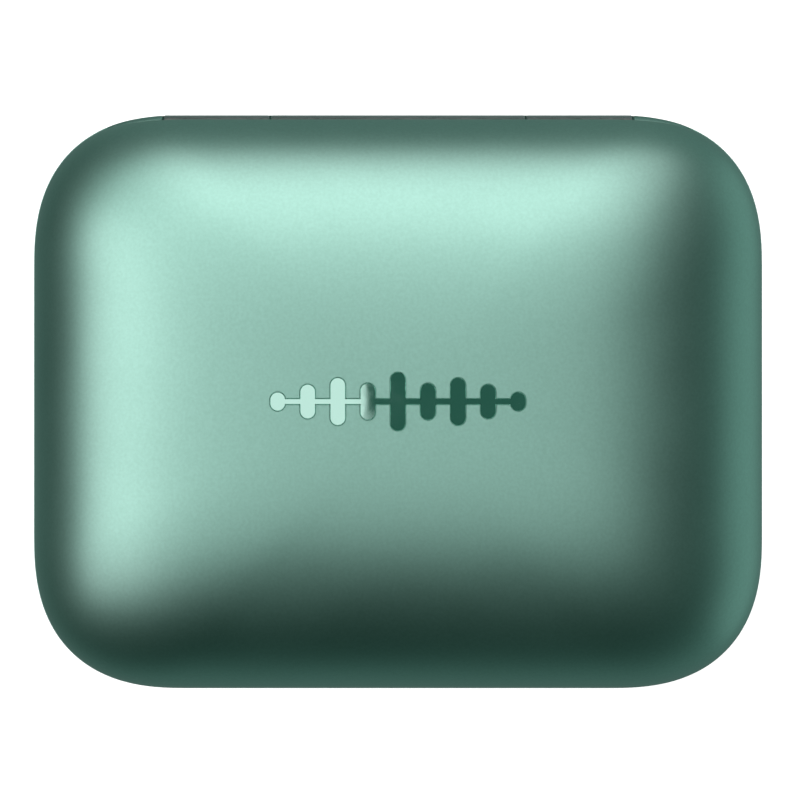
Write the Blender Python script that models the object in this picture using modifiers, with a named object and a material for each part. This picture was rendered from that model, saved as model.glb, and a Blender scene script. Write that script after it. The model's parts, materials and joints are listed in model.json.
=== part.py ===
"""Wireless earbuds case: a clamshell pebble with a sprung hinge, a cradle, a cell and charging contacts.

Frame: metres, +Z up, +X to the right, +Y towards the hinge. The origin is the centre of the flat underside.
The outside is a pillow. Each level is the same plan outline, a rectangle with superelliptic corners, scaled
about the centre line; the scale falls with height as (1 - (height / half height)^2)^(1 / EDGE_POWER).
"""
import math

import bmesh
import bpy
from mathutils import Matrix, Vector

MM = 0.001

# Driving dimensions
CASE_WIDTH = 62.5 * MM
CASE_DEPTH = 49.2 * MM
CASE_HEIGHT = 24.8 * MM
CORNER_EXTENT = 13.0 * MM
CORNER_POWER = 2.5
EDGE_POWER = 3.6
WALL = 1.4 * MM
SEAM_GAP = 0.15 * MM
FIT_GAP = 0.12 * MM
WIDE_GAP = 0.15 * MM
REST_SCALE = 0.45  # the flat underside, as a fraction of the plan outline

# Levels
EQUATOR_Z = CASE_HEIGHT / 2
PARTING_Z = EQUATOR_Z + 1.4 * MM
LID_RISE = CASE_HEIGHT - EQUATOR_Z
BASE_DROP = EQUATOR_Z / math.sqrt(1 - REST_SCALE ** EDGE_POWER)
FLOOR_Z = WALL

# Hinge
HINGE_INSET = 1.5 * MM
HINGE_Y = CASE_DEPTH / 2 - HINGE_INSET
HINGE_Z = PARTING_Z
BARREL_R = 1.4 * MM
BARREL_HALF = 20.0 * MM
LEAF_HALF = BARREL_HALF - 0.2 * MM
MIDDLE_HALF = 10.85 * MM
PIN_R = 0.5 * MM
PIN_HOLE_R = 0.55 * MM
SPRING_BORE_R = 1.0 * MM
SPRING_BORE_HALF = 9.3 * MM
RELIEF_HALF_ANGLE = math.radians(50)
LEAF_FRONT_Y = 16.4 * MM
LEAF_BACK_Y = 21.4 * MM
LEAF_THICK = 0.5 * MM
LEAF_TOP_Z = PARTING_Z - 0.3 * MM
RECESS_HALF = BARREL_HALF + 0.05 * MM
RECESS_FRONT_Y = 16.2 * MM
RECESS_BACK_Y = 24.0 * MM
SEAT_HALF = BARREL_HALF + 0.6 * MM
SEAT_FRONT_Y = 16.0 * MM
SEAT_BACK_Y = 20.5 * MM
RELIEF_STATIONS = (26.2, 25.2, 24.2, 23.0, 21.6, 20.2, 18.5)
END_STATIONS = (24.8, 24.0, 23.0, 21.6, 20.15)
LEAF_SCREW_X = 14.5 * MM
LEAF_SCREW_Y = 18.6 * MM
SCREW_R = 0.55 * MM
SCREW_HEAD_R = 1.0 * MM
SCREW_HEAD_H = 0.4 * MM

# Cradle tray and lid liner
TRAY_TOP_Z = PARTING_Z - 0.2 * MM
PLATE_THICK = 1.2 * MM
TRAY_SEAT_Z = 11.3 * MM
LINER_LOW_Z = PARTING_Z + 0.25 * MM
LINER_SEAT_Z = 16.4 * MM
LINER_THICK = 1.0 * MM
MOULD_WALL = 0.8 * MM
HEAD_X = 16.5 * MM
HEAD_Y = 6.0 * MM
HEAD_R = 8.6 * MM
HEAD_FLOOR_Z = 6.9 * MM
TIP_X = 15.0 * MM
TIP_Y = 7.5 * MM
TIP_R = 5.6 * MM
TIP_FLOOR_Z = 4.6 * MM
STEM_HALF = 3.2 * MM
STEM_END_Y = -19.0 * MM
STEM_FLOOR_Z = 8.2 * MM
HEAD_ROOF_Z = 20.2 * MM
STEM_ROOF_Z = 17.6 * MM

# Closure magnets, one above the other at the front corners
MAGNET_X = 24.4 * MM
MAGNET_Y = -15.4 * MM
MAGNET_R = 2.0 * MM

# Charging contacts in the stem grooves
CONTACT_YS = {"rear": -12.2 * MM, "front": -14.8 * MM}
CONTACT_BOARD_Z = 4.0 * MM
CONTACT_BOARD_THICK = 0.5 * MM
BARREL_TUBE_R = 0.75 * MM
BARREL_BORE_R = 0.6 * MM
PLUNGER_R = 0.5 * MM
PLUNGER_TOP_Z = 9.0 * MM

# Cell, boards and port
CELL_LOW = Vector((-11.75, -16.4, 3.4)) * MM
CELL_HIGH = Vector((11.75, -4.4, 11.2)) * MM
BOARD_LOW = Vector((-6.3, -3.6, 6.75)) * MM
BOARD_HIGH = Vector((6.3, 20.6, 7.5)) * MM
LEAD_PATH = ((-4.25, 9.4), (-3.3, 9.5), (-2.2, 9.3), (-0.9, 8.5), (0.3, 7.95), (1.4, 7.9))
FLEX_PATH = ((-19.25, 11.0), (-18.6, 11.75), (-4.4, 11.75), (-3.5, 11.2), (-2.9, 8.4), (-2.2, 7.75),
             (-1.4, 7.7))
BOARD_SCREW_X = 4.6 * MM
BOARD_SCREW_Y = -1.9 * MM
BOARD_SCREW_R = 0.5 * MM
LEAF_POST_FOOT_Z = 3.7 * MM
LEAF_POST_TOP_Z = 11.15 * MM
PORT_Z = 9.23 * MM
PORT_WIDTH = 8.94 * MM
PORT_HEIGHT = 3.26 * MM
PORT_MOUTH_Y = 23.2 * MM
PORT_LENGTH = 7.35 * MM
PORT_METAL = 0.3 * MM

# Pairing button on the +X side
BUTTON_Y = -8.0 * MM
BUTTON_Z = 10.5 * MM
BUTTON_LENGTH = 6.0 * MM
BUTTON_HEIGHT = 2.2 * MM
BUTTON_FACE_X = 30.95 * MM
BUTTON_BACK_X = 27.9 * MM

# Status light at the front
LIGHT_FRONT_Y = -24.25 * MM
LIGHT_Z = 9.8 * MM
LIGHT_LENGTH = 3.2 * MM
LIGHT_HEIGHT = 1.0 * MM
LIGHT_RIM = 0.6 * MM
LIGHT_GAP = 0.1 * MM

# Mark on the lid: a row of sound-level bars joined by a thin centre line
BAR_HEIGHTS = (1.6, 2.9, 4.0, 3.1, 4.9, 3.1, 4.0, 2.9, 1.6)
BAR_PITCH = 2.5 * MM
BAR_WIDTH = 1.3 * MM
SPINE_WIDTH = 0.5 * MM
MARK_TOP_Z = CASE_HEIGHT - 0.06 * MM
MARK_THICK = 0.45 * MM

# Resolution
CORNER_STEPS = 8
ROUND_STEPS = 20
SMALL_STEPS = 12

ALONG_X = (0, math.pi / 2, 0)
LENGTHWAYS_TO_BACK = (-math.pi / 2, math.pi / 2, 0)  # local +Z to the back, local +Y along X
UPRIGHT = (0, 0, 0)
UPSIDE_DOWN = (math.pi, 0, 0)

# Finish of each material: colour, roughness, metallic
FINISHES = {
    "satin_green": ((0.14, 0.36, 0.28), 0.38, 1.0),
    "mirror_mint": ((0.55, 0.85, 0.75), 0.08, 1.0),
    "liner_black": ((0.025, 0.030, 0.030), 0.55, 0.0),
    "hinge_steel": ((0.55, 0.56, 0.57), 0.28, 1.0),
    "magnet_nickel": ((0.66, 0.65, 0.62), 0.22, 1.0),
    "board_green": ((0.02, 0.12, 0.06), 0.45, 0.0),
    "contact_gold": ((0.83, 0.62, 0.27), 0.22, 1.0),
    "cell_foil": ((0.62, 0.63, 0.64), 0.35, 1.0),
    "foam_grey": ((0.10, 0.10, 0.10), 0.95, 0.0),
    "chip_black": ((0.02, 0.02, 0.02), 0.40, 0.0),
    "light_clear": ((0.85, 0.88, 0.86), 0.20, 0.0),
    "flex_amber": ((0.45, 0.22, 0.04), 0.40, 0.0),
    "lead_red": ((0.55, 0.02, 0.02), 0.50, 0.0),
}


# ---------------------------------------------------------------- scene and materials

def clear_scene():
    for item in list(bpy.data.objects):
        bpy.data.objects.remove(item, do_unlink=True)


def new_collection(name):
    collection = bpy.data.collections.new(name)
    bpy.context.scene.collection.children.link(collection)
    return collection


def new_material(name):
    colour, roughness, metallic = FINISHES[name]
    material = bpy.data.materials.new(name)
    material.use_nodes = True
    shader = material.node_tree.nodes["Principled BSDF"]
    shader.inputs["Base Color"].default_value = (*colour, 1)
    shader.inputs["Roughness"].default_value = roughness
    shader.inputs["Metallic"].default_value = metallic
    return material


def new_empty(name, location):
    empty = bpy.data.objects.new(name, None)
    empty.location = location
    CASE.objects.link(empty)
    return empty


def add_object(name, mesh, material=None, location=(0, 0, 0), rotation=UPRIGHT):
    """Put a mesh in the scene: a part when it has a material, a hidden cutter when it has none."""
    item = bpy.data.objects.new(name, mesh)
    item.location = location
    item.rotation_euler = rotation
    if material:
        mesh.materials.append(MATERIALS[material])
        CASE.objects.link(item)
    else:
        item.hide_render = True
        item.display_type = "WIRE"
        CUTTERS.objects.link(item)
    return item


def attach(parent, *items):
    """Parent the items where they stand."""
    for item in items:
        item.parent = parent
        item.matrix_parent_inverse = Matrix.Translation(parent.location).inverted()


# ---------------------------------------------------------------- basic shapes

def smooth(mesh, angle=35):
    mesh.shade_smooth()
    mesh.set_sharp_from_angle(angle=math.radians(angle))


def box(name, low, high, material=None, bevel=0.0, segments=2):
    """A box between two corners, with an optional rounding of its edges."""
    low = Vector(low)
    high = Vector(high)
    shape = bmesh.new()
    bmesh.ops.create_cube(shape, size=1, matrix=Matrix.Diagonal((*(high - low), 1)))
    mesh = bpy.data.meshes.new(name)
    shape.to_mesh(mesh)
    shape.free()
    item = add_object(name, mesh, material, (low + high) / 2)
    if bevel:
        rounding = item.modifiers.new("rounding", "BEVEL")
        rounding.width = bevel
        rounding.segments = segments
    return item


def rod(name, radius, length, material=None, location=(0, 0, 0), rotation=UPRIGHT, steps=ROUND_STEPS):
    """A cylinder that starts at its location and runs along its local +Z."""
    shape = bmesh.new()
    middle = Matrix.Translation((0, 0, length / 2))
    bmesh.ops.create_cone(shape, cap_ends=True, segments=steps, radius1=radius, radius2=radius,
                          depth=length, matrix=middle)
    mesh = bpy.data.meshes.new(name)
    shape.to_mesh(mesh)
    shape.free()
    smooth(mesh)
    return add_object(name, mesh, material, location, rotation)


def turned(name, profile, material=None, location=(0, 0, 0), rotation=UPRIGHT, steps=ROUND_STEPS):
    """A body turned about its local Z; the (radius, height) profile runs down the outer side."""
    points = [(radius, 0, height) for radius, height in profile]
    edges = [(index, index + 1) for index in range(len(points) - 1)]
    mesh = bpy.data.meshes.new(name)
    mesh.from_pydata(points, edges, [])
    item = add_object(name, mesh, material, location, rotation)
    turn = item.modifiers.new("turn", "SCREW")
    turn.steps = steps
    turn.render_steps = steps
    turn.use_merge_vertices = True
    turn.merge_threshold = 0.000001
    turn.use_smooth_shade = True
    return item


def prism(name, outline, depth, material=None, location=(0, 0, 0), rotation=UPRIGHT):
    """A flat outline in local XY, thickened along local +Z."""
    mesh = bpy.data.meshes.new(name)
    points = [(x, y, 0) for x, y in outline]
    mesh.from_pydata(points, [], [list(range(len(points)))])
    item = add_object(name, mesh, material, location, rotation)
    thicken = item.modifiers.new("thickness", "SOLIDIFY")
    thicken.thickness = depth
    thicken.offset = 1
    return item


def slot_outline(length, width, steps=6):
    """A rounded slot centred on the origin, its long side along Y."""
    radius = width / 2
    reach = length / 2 - radius
    points = []
    for side in (1, -1):
        for step in range(steps + 1):
            angle = math.pi * step / steps
            points.append((side * radius * math.cos(angle), side * (reach + radius * math.sin(angle))))
    return points


def wire(name, points, radius, material):
    """A round wire through the points, with filled ends."""
    curve = bpy.data.curves.new(name, "CURVE")
    curve.dimensions = "3D"
    curve.bevel_depth = radius
    curve.bevel_resolution = 1
    curve.use_fill_caps = True
    spline = curve.splines.new("POLY")
    spline.points.add(len(points) - 1)
    for target, point in zip(spline.points, points):
        target.co = (*point, 1)
    item = bpy.data.objects.new(name, curve)
    curve.materials.append(MATERIALS[material])
    CASE.objects.link(item)
    return item


def helix(start, length, radius, turns, steps_per_turn, along_x=False):
    """Points on a coil that starts at a place and runs along +Z, or along +X."""
    points = []
    count = turns * steps_per_turn
    for step in range(count + 1):
        angle = math.tau * step / steps_per_turn
        along = length * step / count
        u = radius * math.cos(angle)
        v = radius * math.sin(angle)
        offset = Vector((along, u, v)) if along_x else Vector((u, v, along))
        points.append(Vector(start) + offset)
    return points


# ---------------------------------------------------------------- joining and cutting

def combine(item, other, operation):
    modifier = item.modifiers.new(operation.lower(), "BOOLEAN")
    modifier.operation = operation
    modifier.solver = "EXACT"
    modifier.object = other


def join(item, *others):
    for other in others:
        combine(item, other, "UNION")


def cut(item, *others):
    for other in others:
        combine(item, other, "DIFFERENCE")


def mirrored(item):
    """Repeat a body on the other side of the case's centre plane."""
    mirror = item.modifiers.new("left_and_right", "MIRROR")
    mirror.mirror_object = CASE_CENTRE
    mirror.use_mirror_merge = False
    mirror.merge_threshold = 0.00001
    return item


# ---------------------------------------------------------------- the pillow

def edge_scale(height, half_height):
    """How much of the plan outline is left at a height above or below the equator."""
    return (1 - (height / half_height) ** 2) ** (1 / EDGE_POWER)


def quarter_outline(half_x, half_y, corner):
    points = []
    for step in range(CORNER_STEPS + 1):
        angle = math.pi / 2 * step / CORNER_STEPS
        along_x = max(math.cos(angle), 0) ** (2 / CORNER_POWER)
        along_y = max(math.sin(angle), 0) ** (2 / CORNER_POWER)
        points.append((half_x - corner * (1 - along_x), half_y - corner * (1 - along_y)))
    return points


def case_ring(inset, scale, z):
    """The plan outline pulled in by a wall, scaled about the centre line and set at a level."""
    half_x = (CASE_WIDTH / 2 - inset) * scale
    half_y = (CASE_DEPTH / 2 - inset) * scale
    quarter = quarter_outline(half_x, half_y, (CORNER_EXTENT - inset) * scale)
    back = [(-x, y) for x, y in reversed(quarter)]
    half = quarter + back
    return [(x, y, z) for x, y in half + [(-x, -y) for x, y in half]]


def pillow_rings(inset, half_height, first_angle, last_angle, count):
    """Rings up one side of the pillow; the angle is 0 at the equator, 90 degrees at the crown."""
    rings = []
    for step in range(count + 1):
        angle = math.radians(first_angle + (last_angle - first_angle) * step / count)
        height = half_height * math.sin(angle)
        scale = edge_scale(height, abs(half_height))
        rings.append(case_ring(inset, scale, EQUATOR_Z + height))
    return rings


def loft(name, rings, first_z, last_z, material=None):
    """Skin the rings in order and close both ends with a fan to the centre line."""
    shape = bmesh.new()
    loops = [[shape.verts.new(point) for point in ring] for ring in rings]
    count = len(rings[0])
    for lower, upper in zip(loops, loops[1:]):
        for index in range(count):
            following = (index + 1) % count
            shape.faces.new((lower[index], lower[following], upper[following], upper[index]))
    for loop, z in ((loops[0], first_z), (loops[-1], last_z)):
        pole = shape.verts.new((0, 0, z))
        for index in range(count):
            shape.faces.new((loop[index], loop[(index + 1) % count], pole))
    bmesh.ops.recalc_face_normals(shape, faces=shape.faces)
    mesh = bpy.data.meshes.new(name)
    shape.to_mesh(mesh)
    shape.free()
    smooth(mesh)
    return add_object(name, mesh, material)


def angle_at(z, half_height):
    return math.degrees(math.asin((z - EQUATOR_Z) / half_height))


def lid_dome():
    """The lid's open dome: down the outside from the crown, round the rim and up the inside."""
    rim_z = PARTING_Z + SEAM_GAP / 2
    outer = pillow_rings(0, LID_RISE, 84, angle_at(rim_z, LID_RISE), 9)
    inner_rise = LID_RISE - WALL
    inner = pillow_rings(WALL, inner_rise, angle_at(rim_z, inner_rise), 82, 7)
    return loft("lid_shell", outer + inner, CASE_HEIGHT, CASE_HEIGHT - WALL, "satin_green")


def base_bowl():
    """The base's open bowl, with a flat underside and a flat floor."""
    rim_z = PARTING_Z - SEAM_GAP / 2
    rest_angle = angle_at(0, BASE_DROP)
    outer = pillow_rings(0, BASE_DROP, rest_angle, 0, 8)
    outer += [case_ring(0, edge_scale(rim_z - EQUATOR_Z, LID_RISE), rim_z)]
    inner_drop = BASE_DROP - WALL
    inner = [case_ring(WALL, edge_scale(rim_z - EQUATOR_Z, LID_RISE - WALL), rim_z)]
    inner += pillow_rings(WALL, inner_drop, 0, angle_at(FLOOR_Z, inner_drop), 7)
    return loft("base_shell", outer + inner, 0, FLOOR_Z, "satin_green")


def pillow_slice(name, low_z, high_z, material=None):
    """A plate that fills the shell's inside between two levels above the equator, less the fit gap."""
    inset = WALL + FIT_GAP
    inner_rise = LID_RISE - inset
    rings = []
    for step in range(3):
        z = low_z + (high_z - low_z) * step / 2
        rings.append(case_ring(inset, edge_scale(max(z - EQUATOR_Z, 0), inner_rise), z))
    return loft(name, rings, low_z, high_z, material)


# ---------------------------------------------------------------- hinge

def wall_reach(x):
    """How far the outline at the seam stands behind the hinge axis, at a distance from the middle."""
    scale = edge_scale(PARTING_Z - EQUATOR_Z, LID_RISE)
    half_x = CASE_WIDTH / 2 * scale
    half_y = CASE_DEPTH / 2 * scale
    corner = CORNER_EXTENT * scale
    past_corner = max(x - (half_x - corner), 0) / corner
    y = half_y - corner * (1 - (1 - past_corner ** CORNER_POWER) ** (1 / CORNER_POWER))
    return y - HINGE_Y


def hinge_relief(name):
    """The room the walls need behind the axis: a spindle that tapers as the corners curve away."""
    half = []
    for station in RELIEF_STATIONS:
        reach = max(wall_reach(station * MM), 0)
        half.append((reach / math.cos(RELIEF_HALF_ANGLE) + FIT_GAP / 2, station * MM))
    lower = [(radius, -along) for radius, along in reversed(half)]
    profile = [(0, half[0][1])] + half + lower + [(0, -half[0][1])]
    return turned(name, profile, location=(0, HINGE_Y, HINGE_Z), rotation=ALONG_X)


def hinge_end(name):
    """The tapered end that carries the barrel's line on to where the corners curve away."""
    profile = [(wall_reach(station * MM), station * MM) for station in END_STATIONS]
    profile = [(0, profile[0][1])] + profile + [(0, profile[-1][1])]
    return mirrored(turned(name, profile, location=(0, HINGE_Y, HINGE_Z), rotation=ALONG_X))


def knuckle(name, start, end):
    return rod(name, BARREL_R, end - start, location=(start, HINGE_Y, HINGE_Z), rotation=ALONG_X)


def leaf_plate(name, low_z):
    high = (LEAF_HALF, LEAF_BACK_Y, low_z + LEAF_THICK)
    return box(name, (-LEAF_HALF, LEAF_FRONT_Y, low_z), high, "hinge_steel")


def hinge_base_leaf():
    """Plate with two end knuckles, bored for the pin."""
    leaf = leaf_plate("hinge_base_leaf", LEAF_TOP_Z - LEAF_THICK)
    tab = box("base_leaf_tab", (MIDDLE_HALF + 0.3 * MM, LEAF_BACK_Y - 0.2 * MM, LEAF_TOP_Z - LEAF_THICK),
              (LEAF_HALF, HINGE_Y, LEAF_TOP_Z))
    ear = knuckle("base_leaf_ear", MIDDLE_HALF + 0.15 * MM, BARREL_HALF)
    join(leaf, mirrored(tab), mirrored(ear))
    length = 2.2 * BARREL_HALF
    cut(leaf, rod("base_leaf_bore", PIN_HOLE_R, length, location=(-length / 2, HINGE_Y, HINGE_Z),
                  rotation=ALONG_X))
    cut(leaf, screw_hole("base_leaf_hole", LEAF_TOP_Z, UPRIGHT))
    return leaf


def hinge_lid_leaf():
    """Plate with one long middle knuckle, whose wide bore holds the spring."""
    leaf = leaf_plate("hinge_lid_leaf", LINER_LOW_Z)
    half_tab = MIDDLE_HALF - 0.15 * MM
    tab = box("lid_leaf_tab", (-half_tab, LEAF_BACK_Y - 0.2 * MM, LINER_LOW_Z),
              (half_tab, HINGE_Y, LINER_LOW_Z + LEAF_THICK))
    join(leaf, tab, knuckle("lid_leaf_knuckle", -MIDDLE_HALF, MIDDLE_HALF))
    reach = MIDDLE_HALF + 1 * MM
    steps = [(PIN_HOLE_R, reach), (PIN_HOLE_R, SPRING_BORE_HALF), (SPRING_BORE_R, SPRING_BORE_HALF)]
    lower = [(radius, -along) for radius, along in reversed(steps)]
    bore = turned("lid_leaf_bore", [(0, reach)] + steps + lower + [(0, -reach)],
                  location=(0, HINGE_Y, HINGE_Z), rotation=ALONG_X)
    cut(leaf, bore, screw_hole("lid_leaf_hole", LINER_LOW_Z, UPSIDE_DOWN))
    return leaf


def screw_hole(name, face_z, rotation):
    """Countersunk holes for both screws of a leaf; local +Z points out of the face."""
    gap = 0.06 * MM
    above = 0.2 * MM
    profile = [(0, above), (SCREW_HEAD_R + gap, above), (SCREW_HEAD_R + gap, 0),
               (SCREW_R + gap, -SCREW_HEAD_H), (SCREW_R + gap, -5 * MM), (0, -5 * MM)]
    return mirrored(turned(name, profile, location=(LEAF_SCREW_X, LEAF_SCREW_Y, face_z), rotation=rotation,
                           steps=SMALL_STEPS))


def leaf_screw(name, x, face_z, rotation, length):
    """Countersunk screw with a hexagon socket."""
    profile = [(0, 0), (SCREW_HEAD_R, 0), (SCREW_R, -SCREW_HEAD_H), (SCREW_R, 0.3 * MM - length),
               (0.3 * MM, -length), (0, -length)]
    screw = turned(name, profile, "hinge_steel", (x, LEAF_SCREW_Y, face_z), rotation, SMALL_STEPS)
    socket = rod(name + "_socket", 0.42 * MM, 0.6 * MM, steps=6)
    depth = Vector((0, 0, -0.3 * MM))
    socket.location = screw.location + (depth if rotation == UPRIGHT else -depth)
    socket.rotation_euler = rotation
    cut(screw, socket)
    return screw


def hinge_pin():
    half = BARREL_HALF - 0.1 * MM
    chamfer = 0.12 * MM
    profile = [(0, half), (PIN_R - chamfer, half), (PIN_R, half - chamfer), (PIN_R, chamfer - half),
               (PIN_R - chamfer, -half), (0, -half)]
    return turned("hinge_pin", profile, "hinge_steel", (0, HINGE_Y, HINGE_Z), ALONG_X)


def hinge_spring():
    half = SPRING_BORE_HALF - 0.6 * MM
    coil_r = (PIN_R + SPRING_BORE_R) / 2
    points = helix((-half, HINGE_Y, HINGE_Z), 2 * half, coil_r, 7, 9, along_x=True)
    return wire("hinge_spring", points, 0.13 * MM, "hinge_steel")


# ---------------------------------------------------------------- mouldings

def well(name, x, y, radius, floor_z, top_z, rounding):
    """A round pocket shape, from a rounded end at one level to a plain end at the other."""
    height = abs(top_z - floor_z)
    arc = []
    for step in range(4):
        angle = math.pi / 2 * step / 3
        arc.append((radius - rounding * (1 - math.cos(angle)), rounding * (1 - math.sin(angle))))
    profile = [(0, height), (radius, height)] + arc + [(0, 0)]
    rotation = UPRIGHT if top_z > floor_z else UPSIDE_DOWN
    return mirrored(turned(name, profile, location=(x, y, floor_z), rotation=rotation, steps=24))


def groove(name, margin, floor_z, top_z):
    """The stem's channel from the head's centre to the front, rounded lengthways."""
    half = STEM_HALF + margin
    low_z = min(floor_z, top_z)
    low = (HEAD_X - half, STEM_END_Y - margin, low_z)
    high = (HEAD_X + half, HEAD_Y, max(floor_z, top_z))
    channel = box(name, low, high)
    rounding = channel.modifiers.new("rounding", "BEVEL")
    rounding.width = 1.2 * MM + margin
    rounding.segments = 2
    return mirrored(channel)


def cradle_tray():
    """Plate under the seam with two earbud wells, two stem grooves and a seat for the hinge leaf."""
    low_z = TRAY_TOP_Z - PLATE_THICK
    middle_z = (low_z + TRAY_TOP_Z) / 2
    above_z = TRAY_TOP_Z + 2 * MM
    wall = MOULD_WALL
    tray = pillow_slice("cradle_tray", low_z, TRAY_TOP_Z, "liner_black")
    join(tray,
         well("tray_head_cup", HEAD_X, HEAD_Y, HEAD_R + wall, HEAD_FLOOR_Z - wall, middle_z, 4.5 * MM),
         well("tray_tip_cup", TIP_X, TIP_Y, TIP_R + wall, TIP_FLOOR_Z - wall, HEAD_FLOOR_Z + 1 * MM,
              2 * MM),
         groove("tray_stem_body", wall, STEM_FLOOR_Z - wall, TRAY_TOP_Z - 0.3 * MM),
         box("tray_leaf_seat", (-SEAT_HALF, SEAT_FRONT_Y, TRAY_SEAT_Z), (SEAT_HALF, SEAT_BACK_Y, middle_z)))
    cut(tray,
        well("tray_head_well", HEAD_X, HEAD_Y, HEAD_R, HEAD_FLOOR_Z, above_z, 4 * MM),
        well("tray_tip_well", TIP_X, TIP_Y, TIP_R, TIP_FLOOR_Z, HEAD_FLOOR_Z + 3 * MM, 1.6 * MM),
        groove("tray_stem_groove", 0, STEM_FLOOR_Z, above_z + 2 * MM),
        box("tray_leaf_recess", (-RECESS_HALF, RECESS_FRONT_Y, LEAF_TOP_Z - LEAF_THICK - 0.1 * MM),
            (RECESS_HALF, RECESS_BACK_Y, above_z)),
        screw_hole("tray_screw_hole", LEAF_TOP_Z, UPRIGHT),
        rod("tray_barrel_room", BARREL_R + 0.2 * MM, 2 * RECESS_HALF,
            location=(-RECESS_HALF, HINGE_Y, HINGE_Z), rotation=ALONG_X))
    join(tray, hinge_end("tray_hinge_end"))
    for y in CONTACT_YS.values():
        cut(tray, mirrored(rod("tray_contact_hole", BARREL_TUBE_R + 0.1 * MM, 3 * MM,
                               location=(HEAD_X, y, STEM_FLOOR_Z - 2 * MM), steps=SMALL_STEPS)))
    return tray


def lid_liner():
    """Plate above the seam with the hollows that clear the earbuds and a seat for the lid leaf."""
    low_z = LINER_LOW_Z
    high_z = low_z + LINER_THICK
    middle_z = (low_z + high_z) / 2
    below_z = low_z - 2 * MM
    wall = MOULD_WALL
    liner = pillow_slice("lid_liner", low_z, high_z, "liner_black")
    join(liner,
         well("liner_head_dome", HEAD_X, HEAD_Y, HEAD_R + wall, HEAD_ROOF_Z + wall, middle_z, 5.5 * MM),
         groove("liner_stem_body", wall, STEM_ROOF_Z + wall, low_z + 0.25 * MM),
         box("liner_leaf_seat", (-SEAT_HALF, SEAT_FRONT_Y, middle_z), (SEAT_HALF, SEAT_BACK_Y, LINER_SEAT_Z)),
         mirrored(rod("liner_magnet_boss", MAGNET_R + 0.9 * MM, 1.8 * MM,
                      location=(MAGNET_X, MAGNET_Y, middle_z))))
    cut(liner,
        well("liner_head_well", HEAD_X, HEAD_Y, HEAD_R, HEAD_ROOF_Z, below_z, 5 * MM),
        groove("liner_stem_groove", 0, STEM_ROOF_Z, below_z - 2 * MM),
        box("liner_leaf_recess", (-RECESS_HALF, RECESS_FRONT_Y, below_z),
            (RECESS_HALF, RECESS_BACK_Y, low_z + LEAF_THICK + 0.1 * MM)),
        screw_hole("liner_screw_hole", low_z, UPSIDE_DOWN),
        mirrored(rod("liner_magnet_pocket", MAGNET_R + 0.15 * MM, 3 * MM,
                     location=(MAGNET_X, MAGNET_Y, low_z + 0.5 * MM))),
        hinge_relief("liner_hinge_relief"))
    return liner


# ---------------------------------------------------------------- mark

def bar_row(name, grow, depth, z):
    """The sound-level bars as separate upright slots; they join the centre line afterwards."""
    shape = bmesh.new()
    middle = (len(BAR_HEIGHTS) - 1) / 2
    for index, height in enumerate(BAR_HEIGHTS):
        centre_x = (index - middle) * BAR_PITCH
        outline = slot_outline(height * MM + 2 * grow, BAR_WIDTH + 2 * grow, 4)
        floor = [shape.verts.new((centre_x + x, y, z)) for x, y in outline]
        face = shape.faces.new(floor)
        raised = bmesh.ops.extrude_face_region(shape, geom=[face])["geom"]
        lifted = [item for item in raised if isinstance(item, bmesh.types.BMVert)]
        bmesh.ops.translate(shape, verts=lifted, vec=(0, 0, depth))
    bmesh.ops.recalc_face_normals(shape, faces=shape.faces)
    mesh = bpy.data.meshes.new(name)
    shape.to_mesh(mesh)
    shape.free()
    return add_object(name, mesh)


def centre_line(name, grow, depth, z, material=None):
    length = (len(BAR_HEIGHTS) - 1) * BAR_PITCH
    outline = slot_outline(length + 2 * grow, SPINE_WIDTH + 2 * grow, 3)
    return prism(name, [(-y, x) for x, y in outline], depth, material, (0, 0, z))


def lid_badge():
    floor_z = MARK_TOP_Z - MARK_THICK
    badge = centre_line("lid_badge", 0, MARK_THICK, floor_z, "mirror_mint")
    join(badge, bar_row("badge_bars", 0, MARK_THICK, floor_z))
    return badge


def mark_pocket(lid):
    grow = 0.08 * MM
    floor_z = MARK_TOP_Z - MARK_THICK - grow
    cut(lid, centre_line("mark_line_pocket", grow, 2 * MM, floor_z),
        bar_row("mark_bar_pocket", grow, 2 * MM, floor_z))


# ---------------------------------------------------------------- base details

def wall_opening(name, length, width, depth, location, rotation):
    """A slot through the wall; length and width already hold the clearance."""
    return prism(name, slot_outline(length, width), depth, location=location, rotation=rotation)


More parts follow.
